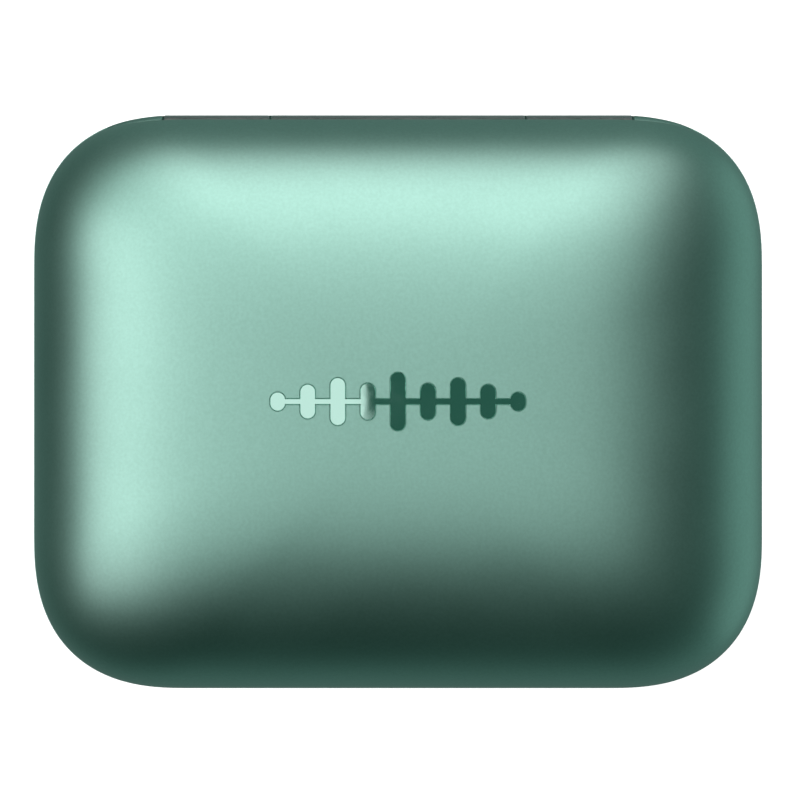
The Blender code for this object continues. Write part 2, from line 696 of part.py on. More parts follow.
def finish_base(base):
    """Openings for port, button and light, the hinge relief, and posts for the screws."""
    post = rod("base_screw_post", 1.7 * MM, LEAF_POST_TOP_Z - LEAF_POST_FOOT_Z,
               location=(LEAF_SCREW_X, LEAF_SCREW_Y, LEAF_POST_FOOT_Z), steps=SMALL_STEPS)
    board_post = rod("base_board_post", 1.3 * MM, BOARD_LOW.z - 0.9 * MM,
                     location=(BOARD_SCREW_X, BOARD_SCREW_Y, 0.8 * MM), steps=SMALL_STEPS)
    join(base, mirrored(post), mirrored(board_post))
    cut(base, hinge_relief("base_hinge_relief"),
        mirrored(rod("base_screw_bore", SCREW_R + 0.06 * MM, 4 * MM,
                     location=(LEAF_SCREW_X, LEAF_SCREW_Y, LEAF_POST_TOP_Z - 3 * MM), steps=SMALL_STEPS)),
        mirrored(rod("base_board_bore", BOARD_SCREW_R + 0.06 * MM, 4 * MM,
                     location=(BOARD_SCREW_X, BOARD_SCREW_Y, BOARD_LOW.z - 3 * MM), steps=SMALL_STEPS)),
        wall_opening("port_hole", PORT_WIDTH + 2 * WIDE_GAP, PORT_HEIGHT + 2 * WIDE_GAP, 8 * MM,
                     (0, PORT_MOUTH_Y - 5.2 * MM, PORT_Z), LENGTHWAYS_TO_BACK),
        wall_opening("button_hole", BUTTON_LENGTH + 2 * WIDE_GAP, BUTTON_HEIGHT + 2 * WIDE_GAP, 4 * MM,
                     (BUTTON_BACK_X + 1 * MM, BUTTON_Y, BUTTON_Z), ALONG_X),
        wall_opening("light_hole", LIGHT_LENGTH + 2 * LIGHT_GAP, LIGHT_HEIGHT + 2 * LIGHT_GAP, 4 * MM,
                     (0, LIGHT_FRONT_Y - 1.75 * MM, LIGHT_Z), LENGTHWAYS_TO_BACK))


def usb_port():
    """Receptacle shell with its mouth to the back, and the contact tongue inside it."""
    start_y = PORT_MOUTH_Y - PORT_LENGTH
    shell = prism("usb_shell", slot_outline(PORT_WIDTH, PORT_HEIGHT), PORT_LENGTH, "hinge_steel",
                  (0, start_y, PORT_Z), LENGTHWAYS_TO_BACK)
    inside = slot_outline(PORT_WIDTH - 2 * PORT_METAL, PORT_HEIGHT - 2 * PORT_METAL)
    cut(shell, prism("usb_cavity", inside, PORT_LENGTH, location=(0, start_y + 0.8 * MM, PORT_Z),
                     rotation=LENGTHWAYS_TO_BACK))
    tongue = box("usb_tongue", (-3.35 * MM, start_y + 0.9 * MM, PORT_Z - 0.35 * MM),
                 (3.35 * MM, PORT_MOUTH_Y - 0.8 * MM, PORT_Z + 0.35 * MM), "chip_black", 0.15 * MM)
    return [shell, tongue]


def button_parts():
    """Cap with a retaining flange, tactile switch with its stem, and the small board behind."""
    cap = prism("button_cap", slot_outline(BUTTON_LENGTH, BUTTON_HEIGHT), BUTTON_FACE_X - BUTTON_BACK_X,
                "satin_green", (BUTTON_BACK_X, BUTTON_Y, BUTTON_Z), ALONG_X)
    join(cap, prism("button_flange", slot_outline(BUTTON_LENGTH + 1 * MM, BUTTON_HEIGHT + 1 * MM), 0.5 * MM,
                    location=(BUTTON_BACK_X + 0.25 * MM, BUTTON_Y, BUTTON_Z), rotation=ALONG_X))
    stem_x = BUTTON_BACK_X - 1.3 * MM
    stem = rod("switch_plunger", 0.6 * MM, 1.15 * MM, "chip_black", (stem_x, BUTTON_Y, BUTTON_Z), ALONG_X,
               SMALL_STEPS)
    body = box("button_switch", (stem_x - 0.9 * MM, BUTTON_Y - 1.6 * MM, BUTTON_Z - 1.3 * MM),
               (stem_x + 0.5 * MM, BUTTON_Y + 1.6 * MM, BUTTON_Z + 1.3 * MM), "hinge_steel")
    cut(body, rod("switch_bore", 0.7 * MM, 2 * MM, location=(stem_x - 0.5 * MM, BUTTON_Y, BUTTON_Z),
                  rotation=ALONG_X, steps=SMALL_STEPS))
    board = box("button_board", (stem_x - 1.55 * MM, BUTTON_Y - 3 * MM, BUTTON_Z - 2.9 * MM),
                (stem_x - 1 * MM, BUTTON_Y + 3 * MM, BUTTON_Z + 1.7 * MM), "board_green")
    return cap, stem, [body, board]


def status_light():
    """Light pipe with a flange, the LED behind it and its board."""
    pipe = prism("light_pipe", slot_outline(LIGHT_LENGTH, LIGHT_HEIGHT), 3.3 * MM, "light_clear",
                 (0, LIGHT_FRONT_Y, LIGHT_Z), LENGTHWAYS_TO_BACK)
    rim = slot_outline(LIGHT_LENGTH + 2 * LIGHT_RIM, LIGHT_HEIGHT + 2 * LIGHT_RIM)
    join(pipe, prism("light_flange", rim, 0.7 * MM, location=(0, LIGHT_FRONT_Y + 2.05 * MM, LIGHT_Z),
                     rotation=LENGTHWAYS_TO_BACK))
    led_y = LIGHT_FRONT_Y + 3.55 * MM
    led = box("status_led", (-0.8 * MM, led_y, LIGHT_Z - 0.4 * MM),
              (0.8 * MM, led_y + 0.6 * MM, LIGHT_Z + 0.4 * MM), "light_clear", 0.05 * MM, 1)
    board = box("indicator_board", (-4 * MM, led_y + 0.8 * MM, LIGHT_Z - 2.2 * MM),
                (4 * MM, led_y + 1.3 * MM, LIGHT_Z + 1.9 * MM), "board_green")
    return [pipe, led, board]


def contact_set(side, sign, place, y):
    """One sprung charging contact: barrel, plunger and spring."""
    x = sign * HEAD_X
    label = side + "_" + place
    low_z = CONTACT_BOARD_Z + CONTACT_BOARD_THICK + 0.05 * MM
    top_z = STEM_FLOOR_Z - 0.1 * MM
    bore_z = low_z + 0.25 * MM
    barrel = rod("contact_barrel_" + label, BARREL_TUBE_R, top_z - low_z, "contact_gold", (x, y, low_z),
                 steps=SMALL_STEPS)
    cut(barrel, rod("contact_bore_" + label, BARREL_BORE_R, 6 * MM, location=(x, y, bore_z),
                    steps=SMALL_STEPS))
    dome = 0.2 * MM
    foot_z = bore_z + 1.9 * MM
    profile = [(0, PLUNGER_TOP_Z), (PLUNGER_R * 0.6, PLUNGER_TOP_Z - dome * 0.3),
               (PLUNGER_R, PLUNGER_TOP_Z - dome - 0.1 * MM), (PLUNGER_R, foot_z), (0, foot_z)]
    plunger = turned("contact_plunger_" + label, profile, "contact_gold", (x, y, 0), steps=SMALL_STEPS)
    coil = helix((x, y, bore_z + 0.14 * MM), 1.6 * MM, 0.4 * MM, 3, 7)
    spring = wire("contact_spring_" + label, coil, 0.08 * MM, "contact_gold")
    return plunger, [barrel, spring]


def contact_parts():
    fixed = []
    plungers = []
    for side, sign in (("left", -1), ("right", 1)):
        low = Vector((sign * HEAD_X - 2.2 * MM, -16.2 * MM, CONTACT_BOARD_Z))
        high = Vector((sign * HEAD_X + 2.2 * MM, -10.8 * MM, CONTACT_BOARD_Z + CONTACT_BOARD_THICK))
        fixed.append(box("contact_board_" + side, low, high, "board_green"))
        for place, y in CONTACT_YS.items():
            plunger, others = contact_set(side, sign, place, y)
            plungers.append(plunger)
            fixed += others
    return plungers, fixed


def disc_pair(name, radius, x, y, low_z, high_z, material="magnet_nickel"):
    """The same round piece on the left and on the right."""
    pair = []
    for side, sign in (("left", -1), ("right", 1)):
        chamfer = 0.15 * MM
        height = high_z - low_z
        profile = [(0, height), (radius - chamfer, height), (radius, height - chamfer), (radius, chamfer),
                   (radius - chamfer, 0), (0, 0)]
        pair.append(turned(name + "_" + side, profile, material, (sign * x, y, low_z), steps=SMALL_STEPS))
    return pair


def cell_parts():
    """Pouch cell, two foam pads on top of it and its two leads."""
    cell = box("battery_cell", CELL_LOW, CELL_HIGH, "cell_foil", 1.2 * MM, 3)
    parts = [cell]
    for side, sign in (("left", -1), ("right", 1)):
        inner = sign * 2.5 * MM
        outer = sign * 10 * MM
        low = (min(inner, outer), -14.5 * MM, CELL_HIGH.z + 0.05 * MM)
        high = (max(inner, outer), -6.5 * MM, TRAY_TOP_Z - PLATE_THICK - 0.05 * MM)
        parts.append(box("battery_foam_" + side, low, high, "foam_grey"))
    for name, x, material in (("battery_lead_red", 2.6, "lead_red"), ("battery_lead_black", 4.0, "chip_black")):
        points = [Vector((x, y, z)) * MM for y, z in LEAD_PATH]
        parts.append(wire(name, points, 0.32 * MM, material))
    return parts


def board_parts():
    """Main board with its chips, coil, lid sensor and two screws."""
    board = box("main_board", BOARD_LOW, BOARD_HIGH, "board_green")
    cut(board, mirrored(rod("board_hole", BOARD_SCREW_R + 0.15 * MM, 3 * MM,
                            location=(BOARD_SCREW_X, BOARD_SCREW_Y, BOARD_LOW.z - 0.75 * MM), steps=SMALL_STEPS)))
    top = BOARD_HIGH.z + 0.05 * MM
    chips = [
        box("charge_chip", (-4.8 * MM, 3.0 * MM, top), (-1.6 * MM, 6.2 * MM, top + 0.8 * MM), "chip_black",
            0.08 * MM, 1),
        box("control_chip", (-4.6 * MM, 8.4 * MM, top), (-0.6 * MM, 12.4 * MM, top + 0.8 * MM), "chip_black",
            0.08 * MM, 1),
        box("power_inductor", (1.0 * MM, 4.4 * MM, top), (3.6 * MM, 7.0 * MM, top + 1.2 * MM), "foam_grey",
            0.3 * MM, 2),
        box("lid_sensor", (2.4 * MM, 10.6 * MM, top), (4.0 * MM, 12.6 * MM, top + 0.6 * MM), "chip_black",
            0.05 * MM, 1)]
    screws = []
    for side, sign in (("left", -1), ("right", 1)):
        name = "board_screw_" + side
        profile = [(0, 0.55 * MM), (0.7 * MM, 0.55 * MM), (0.95 * MM, 0.3 * MM), (0.95 * MM, 0),
                   (BOARD_SCREW_R, 0), (BOARD_SCREW_R, -2.6 * MM), (0.2 * MM, -2.9 * MM), (0, -2.9 * MM)]
        location = Vector((sign * BOARD_SCREW_X, BOARD_SCREW_Y, top))
        screw = turned(name, profile, "hinge_steel", location, steps=SMALL_STEPS)
        socket_place = location + Vector((0, 0, 0.25 * MM))
        cut(screw, rod(name + "_socket", 0.4 * MM, 0.6 * MM, location=socket_place, steps=6))
        screws.append(screw)
    return [board] + chips + screws


def flex_cable():
    """Flat cable from the indicator board, over the cell and down to the main board."""
    half = 1.6 * MM
    mesh = bpy.data.meshes.new("flex_cable")
    points = []
    for y, z in FLEX_PATH:
        points.append((-half, y * MM, z * MM))
        points.append((half, y * MM, z * MM))
    faces = [(2 * i, 2 * i + 1, 2 * i + 3, 2 * i + 2) for i in range(len(FLEX_PATH) - 1)]
    mesh.from_pydata(points, [], faces)
    cable = add_object("flex_cable", mesh, "flex_amber")
    thicken = cable.modifiers.new("thickness", "SOLIDIFY")
    thicken.thickness = 0.12 * MM
    thicken.offset = 0
    return cable


# ---------------------------------------------------------------- assembly

def build_lid():
    lid_axis = new_empty("lid_axis", (0, HINGE_Y, HINGE_Z))
    shell = lid_dome()
    cut(shell, hinge_relief("lid_hinge_relief"))
    mark_pocket(shell)
    magnets = disc_pair("lid_magnet", MAGNET_R, MAGNET_X, MAGNET_Y, LINER_LOW_Z + 0.6 * MM,
                        LINER_LOW_Z + 2.1 * MM)
    screws = [leaf_screw("hinge_lid_screw_left", -LEAF_SCREW_X, LINER_LOW_Z, UPSIDE_DOWN, 2.2 * MM),
              leaf_screw("hinge_lid_screw_right", LEAF_SCREW_X, LINER_LOW_Z, UPSIDE_DOWN, 2.2 * MM)]
    attach(lid_axis, shell, lid_liner(), lid_badge(), hinge_lid_leaf(), *magnets, *screws)


def build_base():
    shell = base_bowl()
    finish_base(shell)
    parts = [shell, cradle_tray(), hinge_base_leaf(), hinge_pin(), hinge_spring(), flex_cable(),
             leaf_screw("hinge_base_screw_left", -LEAF_SCREW_X, LEAF_TOP_Z, UPRIGHT, 4.6 * MM),
             leaf_screw("hinge_base_screw_right", LEAF_SCREW_X, LEAF_TOP_Z, UPRIGHT, 4.6 * MM)]
    under_plate = TRAY_TOP_Z - PLATE_THICK - 0.05 * MM
    parts += disc_pair("base_magnet", MAGNET_R, MAGNET_X, MAGNET_Y, under_plate - 1.5 * MM, under_plate)
    parts += disc_pair("head_magnet", 1.4 * MM, 25.9 * MM, -2.7 * MM, under_plate - 1.4 * MM, under_plate)
    parts += disc_pair("stem_magnet", 1.7 * MM, HEAD_X, -7.0 * MM, 5.8 * MM, 7.3 * MM)
    parts += usb_port() + status_light() + cell_parts() + board_parts()
    attach(CASE_CENTRE, *parts)


def build_moving_small_parts():
    button_axis = new_empty("button_axis", (BUTTON_FACE_X, BUTTON_Y, BUTTON_Z))
    cap, stem, fixed = button_parts()
    attach(button_axis, cap, stem)
    plungers, contacts = contact_parts()
    for plunger in plungers:
        x, y = plunger.location.xy
        attach(new_empty("axis_of_" + plunger.name, (x, y, PLUNGER_TOP_Z)), plunger)
    attach(CASE_CENTRE, *fixed, *contacts)


clear_scene()
CASE = new_collection("earbuds_case")
CUTTERS = new_collection("cutters")
MATERIALS = {name: new_material(name) for name in FINISHES}
CASE_CENTRE = new_empty("case_centre", (0, 0, 0))
build_base()
build_lid()
build_moving_small_parts()
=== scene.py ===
"""Looks of the wireless earbuds case: fine skins, mouldings, hinge, mark, materials and studio.

Everything is in metres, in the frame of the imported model: +Z up, +Y to the hinge, origin under the case.
"""
import json
import math

import bmesh
import bpy
from mathutils import Matrix, Vector


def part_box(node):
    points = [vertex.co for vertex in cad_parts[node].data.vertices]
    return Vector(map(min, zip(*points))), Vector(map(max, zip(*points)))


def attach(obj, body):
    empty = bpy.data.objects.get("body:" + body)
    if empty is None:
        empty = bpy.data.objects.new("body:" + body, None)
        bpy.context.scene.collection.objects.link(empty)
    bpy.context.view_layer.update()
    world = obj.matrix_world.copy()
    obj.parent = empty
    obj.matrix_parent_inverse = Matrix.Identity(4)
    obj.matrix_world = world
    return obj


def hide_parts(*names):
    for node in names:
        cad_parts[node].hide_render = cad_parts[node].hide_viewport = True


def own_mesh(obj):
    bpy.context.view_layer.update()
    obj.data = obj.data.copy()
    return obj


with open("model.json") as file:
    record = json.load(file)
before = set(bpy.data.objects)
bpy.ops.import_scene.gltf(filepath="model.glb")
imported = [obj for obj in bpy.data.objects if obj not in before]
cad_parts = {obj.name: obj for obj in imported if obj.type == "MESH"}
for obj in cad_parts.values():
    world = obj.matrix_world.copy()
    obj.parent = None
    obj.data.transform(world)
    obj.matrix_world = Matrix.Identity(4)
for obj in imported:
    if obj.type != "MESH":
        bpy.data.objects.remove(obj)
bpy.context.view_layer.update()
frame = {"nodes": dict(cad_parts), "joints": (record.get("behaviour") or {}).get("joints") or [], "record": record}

MM = 0.001

# The pillow: plan outline, edge profile and wall, as in the design
CORNER_EXTENT = 13.0 * MM
CORNER_POWER = 2.5
EDGE_POWER = 3.6
WALL = 1.4 * MM
FIT_GAP = 0.12 * MM
REST_SCALE = 0.45

HALF_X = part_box("base_shell")[1].x
HALF_Y = -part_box("base_shell")[0].y
HEIGHT = round(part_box("lid_shell")[1].z, 4)
EQUATOR_Z = HEIGHT / 2
LID_RISE = HEIGHT - EQUATOR_Z
BASE_DROP = EQUATOR_Z / math.sqrt(1 - REST_SCALE ** EDGE_POWER)
LID_RIM_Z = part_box("lid_shell")[0].z
BASE_RIM_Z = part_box("base_shell")[1].z

# The hinge, from its joint
HINGE = next(joint for joint in frame["joints"] if joint["name"] == "lid_hinge")
HINGE_Y = HINGE["pos_m"][1]
HINGE_Z = HINGE["pos_m"][2]
RELIEF_HALF_ANGLE = math.radians(50)
RELIEF_END_X = 26.2 * MM
BARREL_R = 1.4 * MM
BARREL_HALF = 20.0 * MM
BARREL_GAP = 0.2 * MM
MIDDLE_HALF = 10.85 * MM
PIN_HOLE_R = 0.55 * MM
SPRING_BORE_R = 1.0 * MM
SPRING_BORE_HALF = 9.3 * MM
HINGE_END_START = 20.15 * MM
HINGE_END_STOP = 24.8 * MM
HINGE_END_ROUND = 0.1 * MM
PIN_ROUND = 0.15 * MM
LEAF_HALF = 19.8 * MM
LEAF_FRONT_Y = 16.4 * MM
LEAF_BACK_Y = 21.4 * MM
LEAF_THICK = 0.5 * MM
LEAF_TOP_Z = HINGE_Z - 0.3 * MM
LEAF_GAP = 0.1 * MM
LEAF_ROUND = 0.08 * MM
KNUCKLE_ROUND = 0.12 * MM
KNUCKLE_GAP = 0.15 * MM
RECESS_HALF = 20.05 * MM
RECESS_FRONT_Y = 16.2 * MM
RECESS_BACK_Y = 25.0 * MM
SEAT_HALF = 20.6 * MM
SEAT_FRONT_Y = 16.0 * MM
SEAT_BACK_Y = 20.5 * MM
BASE_SEAT_LOW_Z = 11.3 * MM
LID_SEAT_TOP_Z = 16.4 * MM
LEAF_SCREW_X = 14.5 * MM
LEAF_SCREW_Y = 18.6 * MM
SCREW_R = 0.55 * MM
SCREW_HEAD_R = 1.0 * MM
SCREW_HEAD_H = 0.4 * MM
SCREW_GAP = 0.06 * MM
SCREW_RIM = 0.05 * MM
SCREW_POINT = 0.3 * MM
SOCKET_R = 0.42 * MM
SOCKET_DEPTH = 0.28 * MM

# The tray, the liner and the earbud seats, about the parting line
TRAY_TOP_Z = HINGE_Z - 0.2 * MM
TRAY_THICK = 1.2 * MM
LINER_LOW_Z = HINGE_Z + 0.25 * MM
LINER_THICK = 1.0 * MM
MOULD_WALL = 0.8 * MM
HEAD_X = 16.5 * MM
HEAD_Y = 6.0 * MM
HEAD_R = 8.6 * MM
HEAD_FLOOR_Z = 6.9 * MM
HEAD_ROOF_Z = 20.2 * MM
TIP_X = 15.0 * MM
TIP_Y = 7.5 * MM
TIP_R = 5.6 * MM
TIP_FLOOR_Z = 4.6 * MM
TIP_ROUND = 1.8 * MM
TIP_HULL_ROUND = 2.4 * MM
STEM_HALF = 3.2 * MM
STEM_END_Y = -19.0 * MM
STEM_END_R = 2.4 * MM
STEM_FLOOR_Z = 8.2 * MM
STEM_ROOF_Z = 17.6 * MM
SEAT_FILLET_R = 3.0 * MM
SEAT_LIP = 0.35 * MM
CONTACT_YS = (-12.2 * MM, -14.8 * MM)
CONTACT_HOLE_R = 0.85 * MM
CONTACT_HOLE_LOW_Z = 6.0 * MM
CONTACT_HOLE_HIGH_Z = 9.5 * MM
MAGNET_GAP = 0.15 * MM
MAGNET_FLOOR_GAP = 0.1 * MM

# The button and the light pipe: the flange behind the wall, by its width and its place along the piece
FLANGE_OF = {"button_cap": 0.5 * MM, "light_pipe": 0.6 * MM}
BUTTON_FLANGE = (0.25 * MM, 0.75 * MM)
BUTTON_FACE = ((-0.14 * MM, 0), (-0.05 * MM, -0.04 * MM), (0, -0.14 * MM))  # (place from the face, growth)
BUTTON_PROUD = 0.02 * MM
LIGHT_FLANGE = (2.05 * MM, 2.75 * MM)
LIGHT_BEVEL = 0.05 * MM
LIGHT_PROUD = -0.02 * MM
WALL_SLICES = 14
WALL_FACE_DEPTH = 0.4 * MM

# The openings in the wall: how far the cutters reach, and where the button's starts
PORT_CUT = 8 * MM
BUTTON_CUT = 5 * MM
BUTTON_CUT_X = 28.9 * MM
LIGHT_CUT = 4 * MM

# The contacts
PIN_TIP = 0.22 * MM
TUBE_WALL = 0.15 * MM
TUBE_FLOOR = 0.25 * MM
SPRING_WIRE = 0.08 * MM
SPRING_TURNS = 5

# The port
PORT_METAL = 0.3 * MM
PORT_FLOOR = 0.8 * MM
PORT_PADS = 12
PAD_PITCH = 0.5 * MM
PAD_WIDTH = 0.26 * MM
PAD_LENGTH = 3.2 * MM
PAD_THICK = 0.04 * MM
PAD_INSET = 0.4 * MM
TONGUE_ROUND = 0.18 * MM

# The mark: nine sound-level bars on a centre line
BAR_HEIGHTS = (1.6, 2.9, 4.0, 3.1, 4.9, 3.1, 4.0, 2.9, 1.6)
BAR_PITCH = 2.5 * MM
BAR_WIDTH = 1.3 * MM
SPINE_WIDTH = 0.5 * MM
MARK_POCKET = 0.5 * MM

# Resolution of the fine skins
SEAT_RINGS = 16
CORNER_STEPS = 36
SIDE_STEP = 1.6 * MM
EDGE_RINGS = 34
CROWN_RINGS = 12
RIM_RINGS = 3
HALVINGS = 20
GAUGE_HALVINGS = 30
ROUND_STEPS = 64
SMALL_STEPS = 32
SLOT_STEPS = 16
SPRING_STEPS = 20
WIRE_STEPS = 10

# Angles in degrees: bevelled edges, crown, search for the rim, and crisp edges of made and of baked meshes
BEVEL_ANGLE = 40
CROWN_START = 75
RIM_SEARCH_STEP = 0.5
SHARP_MADE = 40
SHARP_BAKED = 35

# Small fits and roundings
RIM_ROUND = 0.12 * MM
OPENING_GAP = 0.13 * MM
LIGHT_GAP = 0.06 * MM
MARK_GAP = 0.05 * MM
MARK_PROUD = 0.02 * MM
MARK_EDGE = 0.05 * MM
CUT_PAST = 1 * MM

# The studio: metres, degrees from straight up, and linear colours
SENSOR_WIDTH = 36
CAMERA_LENS = 200
VIEW_WIDTH = 68.73 * MM
CAMERA_SHIFT_X = 0.17 * MM
CAMERA_SHIFT_Y = 0.13 * MM
FLOOR_REACH = 3.0
FLOOR_DROP = 0.02 * MM
FLOOR_GLOW = 1.0
WORLD_UP = (-0.35, 0.0, 1.0)
WORLD_FADE = (-0.9, 0.2)
WORLD_BELOW = (0.145, 0.215, 0.20)
WORLD_ABOVE = (0.003, 0.020, 0.015)
LIGHT_UNIT = 3.14
OVERHEAD_HEIGHT = 0.5
OVERHEAD_TILTS = (-65, 24, -13, 68)  # left, right, front, back
OVERHEAD_BRIGHT = 0.80
OVERHEAD_COLOUR = (1.0, 1.0, 0.98)
FLAG_DROP = 0.02
FLAG_TILTS = (-0.85, 9, -5, 5)
FLAG_COLOUR = (0.03, 0.09, 0.07)
WARM = (1.0, 0.88, 0.89)
COOL = (0.80, 1.0, 0.95)
STRIP_DISTANCE = 0.6
STRIPS = (  # name, tilt to the right, tilt to the back, width, depth, brightness, colour
    ("left_strip", -50, -3, 0.56, 0.46, 0.94, WARM),
    ("back_strip", 7, 54, 0.62, 0.66, 0.89, WARM),
    ("right_bounce", 106, 0, 0.90, 0.60, 0.18, COOL),
)

# Rotations that lay a local Z along X or towards the back, with a slot's long side level
ALONG_X = (0, math.pi / 2, 0)
FACING_BACK_WIDE = (-math.pi / 2, math.pi / 2, 0)
UPRIGHT = (0, 0, 0)


# ---- materials

def add_node(tree, kind, inputs):
    """A new node's outputs; each input takes a value, or the socket that feeds it."""
    node = tree.nodes.new(kind)
    for name, value in inputs.items():
        if isinstance(value, bpy.types.NodeSocket):
            tree.links.new(value, node.inputs[name])
        else:
            node.inputs[name].default_value = value
    return node.outputs


def colour_mix(tree, share, one, two):
    """A blend of two colours; its node's colour sockets are reached by number."""
    mix = tree.nodes.new("ShaderNodeMix")
    mix.data_type = "RGBA"
    mix.inputs[6].default_value = (*one, 1)
    mix.inputs[7].default_value = (*two, 1)
    tree.links.new(share, mix.inputs[0])
    return mix.outputs[2]


class Shader:
    """A node material built around one Principled shader; positions come from the piece itself."""

    def __init__(self, name, roughness=0.5, metallic=0.0, coat=0.0):
        self.name = name
        self.material = bpy.data.materials.new(name)
        self.material.use_nodes = True
        self.tree = self.material.node_tree
        self.main = self.tree.nodes["Principled BSDF"]
        self.place = self.node("ShaderNodeTexCoord", {})["Object"]
        self.look(Roughness=roughness, Metallic=metallic, Coat_Weight=coat)

    def look(self, **values):
        """Set inputs of the main shader; underscores stand for the spaces in their names."""
        for name, value in values.items():
            self.main.inputs[name.replace("_", " ")].default_value = value

    def node(self, kind, inputs):
        return add_node(self.tree, kind, inputs)

    def feed(self, name, socket):
        self.tree.links.new(socket, self.main.inputs[name])

    def noise(self, size, detail=2.0, stretch=None):
        """Noise whose features are about this many metres across."""
        place = self.place
        if stretch:
            place = self.node("ShaderNodeMapping", {"Scale": stretch, "Vector": place})["Vector"]
        return self.node("ShaderNodeTexNoise", {"Scale": 1 / size, "Detail": detail, "Vector": place})["Fac"]

    def spread(self, value, low, high):
        """Map the middle of a noise to a range."""
        ends = {"From Min": 0.3, "From Max": 0.7, "To Min": low, "To Max": high, "Value": value}
        return self.node("ShaderNodeMapRange", ends)["Result"]

    def two_tone(self, value, dark, light):
        self.feed("Base Color", colour_mix(self.tree, value, dark, light))

    def rough(self, value, low, high):
        self.feed("Roughness", self.spread(value, low, high))

    def bump(self, value, height):
        """Relief of this height in metres."""
        relief = self.node("ShaderNodeBump", {"Distance": height, "Height": value})
        self.feed("Normal", relief["Normal"])

    def glow(self, colour, strength=1.0):
        self.look(Emission_Color=(*colour, 1), Emission_Strength=strength)


def satin_green():
    """Bead-blasted green metal under a clear coat: fine grain and a faint slow variation."""
    shader = Shader("satin_green", metallic=1.0)
    grain = shader.noise(0.26 * MM, 3)
    shader.two_tone(shader.spread(grain, 0.2, 0.8), (0.34, 0.675, 0.575), (0.42, 0.775, 0.675))
    shader.rough(shader.noise(9 * MM, 1), 0.435, 0.465)
    shader.bump(shader.noise(0.16 * MM, 2), 0.003 * MM)
    shader.look(Specular_Tint=(0.35, 0.42, 0.40, 1), Coat_Weight=1.0, Coat_Roughness=0.36, Coat_IOR=1.6)
    return shader


def board_green():
    """Solder mask with faint tracks under it."""
    shader = Shader("board_green", coat=0.4)
    pattern = {"Scale": 1 / (1.6 * MM), "Mortar Size": 0.04, "Vector": shader.place}
    tracks = shader.node("ShaderNodeTexBrick", pattern)["Fac"]
    shader.two_tone(tracks, (0.008, 0.075, 0.032), (0.020, 0.135, 0.060))
    shader.rough(shader.noise(0.4 * MM, 2), 0.28, 0.42)
    shader.bump(tracks, 0.01 * MM)
    return shader


def light_clear():
    """Frosted light guide."""
    shader = plain("light_clear", ((1.2 * MM, 2), (0.70, 0.75, 0.73), (0.84, 0.88, 0.86)),
                   ((0.15 * MM, 2), 0.003 * MM), roughness=0.3)
    shader.look(Subsurface_Weight=0.3, Subsurface_Scale=0.5 * MM)
    return shader


def plain(name, tones, relief, rough=None, **looks):
    """A finish of noises: tones (noise, dark, light), relief (noise, height), rough (noise, low, high)."""
    shader = Shader(name, **looks)
    shader.two_tone(shader.noise(*tones[0]), *tones[1:])
    shader.bump(shader.noise(*relief[0]), relief[1])
    if rough:
        shader.rough(shader.noise(*rough[0]), *rough[1:])
    return shader


def finishes():
    """Every finish of the record, each noise given as (size, detail) or (size, detail, stretch)."""
    eroded = (0.14 * MM, 3)
    brushed = (0.05 * MM, 2, (0.04, 1, 1))
    crinkled = (2.2 * MM, 3)
    cells = (0.25 * MM, 3)
    speckled = (0.1 * MM, 3)
    return (
        satin_green(),
        board_green(),
        light_clear(),
        plain("mirror_mint", ((3 * MM, 1), (0.62, 0.97, 0.86), (0.67, 1.0, 0.91)),
              ((2.5 * MM, 1), 0.001 * MM), ((1.5 * MM, 1), 0.02, 0.05), metallic=1.0),
        plain("liner_black", ((5 * MM, 2), (0.024, 0.028, 0.027), (0.036, 0.041, 0.040)),
              (eroded, 0.012 * MM), (eroded, 0.36, 0.52)),
        plain("hinge_steel", (brushed, (0.56, 0.57, 0.57), (0.76, 0.77, 0.77)),
              (brushed, 0.002 * MM), (brushed, 0.24, 0.38), metallic=1.0),
        plain("magnet_nickel", ((0.8 * MM, 2), (0.52, 0.50, 0.46), (0.68, 0.66, 0.62)),
              ((0.3 * MM, 2), 0.001 * MM), ((0.4 * MM, 2), 0.14, 0.26), metallic=1.0),
        plain("contact_gold", ((0.5 * MM, 2), (0.72, 0.47, 0.16), (0.88, 0.64, 0.28)),
              ((0.12 * MM, 2), 0.0008 * MM), ((0.2 * MM, 2), 0.14, 0.28), metallic=1.0),
        plain("cell_foil", (crinkled, (0.50, 0.51, 0.52), (0.66, 0.67, 0.68)),
              (crinkled, 0.05 * MM), (crinkled, 0.28, 0.42), metallic=1.0),
        plain("foam_grey", (cells, (0.03, 0.03, 0.03), (0.09, 0.09, 0.09)),
              (cells, 0.05 * MM), roughness=0.95),
        plain("chip_black", (speckled, (0.010, 0.010, 0.011), (0.024, 0.024, 0.025)),
              (speckled, 0.004 * MM), (speckled, 0.38, 0.55)),
        plain("flex_amber", ((0.35 * MM, 1, (1, 0.02, 0.02)), (0.30, 0.12, 0.02), (0.50, 0.25, 0.06)),
              ((0.6 * MM, 1), 0.01 * MM), roughness=0.35, coat=0.3),
        plain("lead_red", ((0.8 * MM, 2), (0.36, 0.008, 0.008), (0.50, 0.016, 0.014)),
              ((0.3 * MM, 2), 0.004 * MM), roughness=0.45),
    )


MATERIALS = {shader.name: shader.material for shader in finishes()}
SLOT_OF = {part["node"]: part["material_slot"] for part in frame["record"]["subparts"]}
BODY_OF = {node: body for body, nodes in frame["record"]["behaviour"]["bodies"].items() for node in nodes}


def finish_cad_nodes():
    for node, item in frame["nodes"].items():
        item.data.materials.clear()
        item.data.materials.append(MATERIALS[SLOT_OF[node]])


# ---- pieces and shapes

def new_object(name, data, location=(0, 0, 0), rotation=UPRIGHT):
    item = bpy.data.objects.new(name, data)
    item.location = location
    item.rotation_euler = rotation
    bpy.context.scene.collection.objects.link(item)
    return item


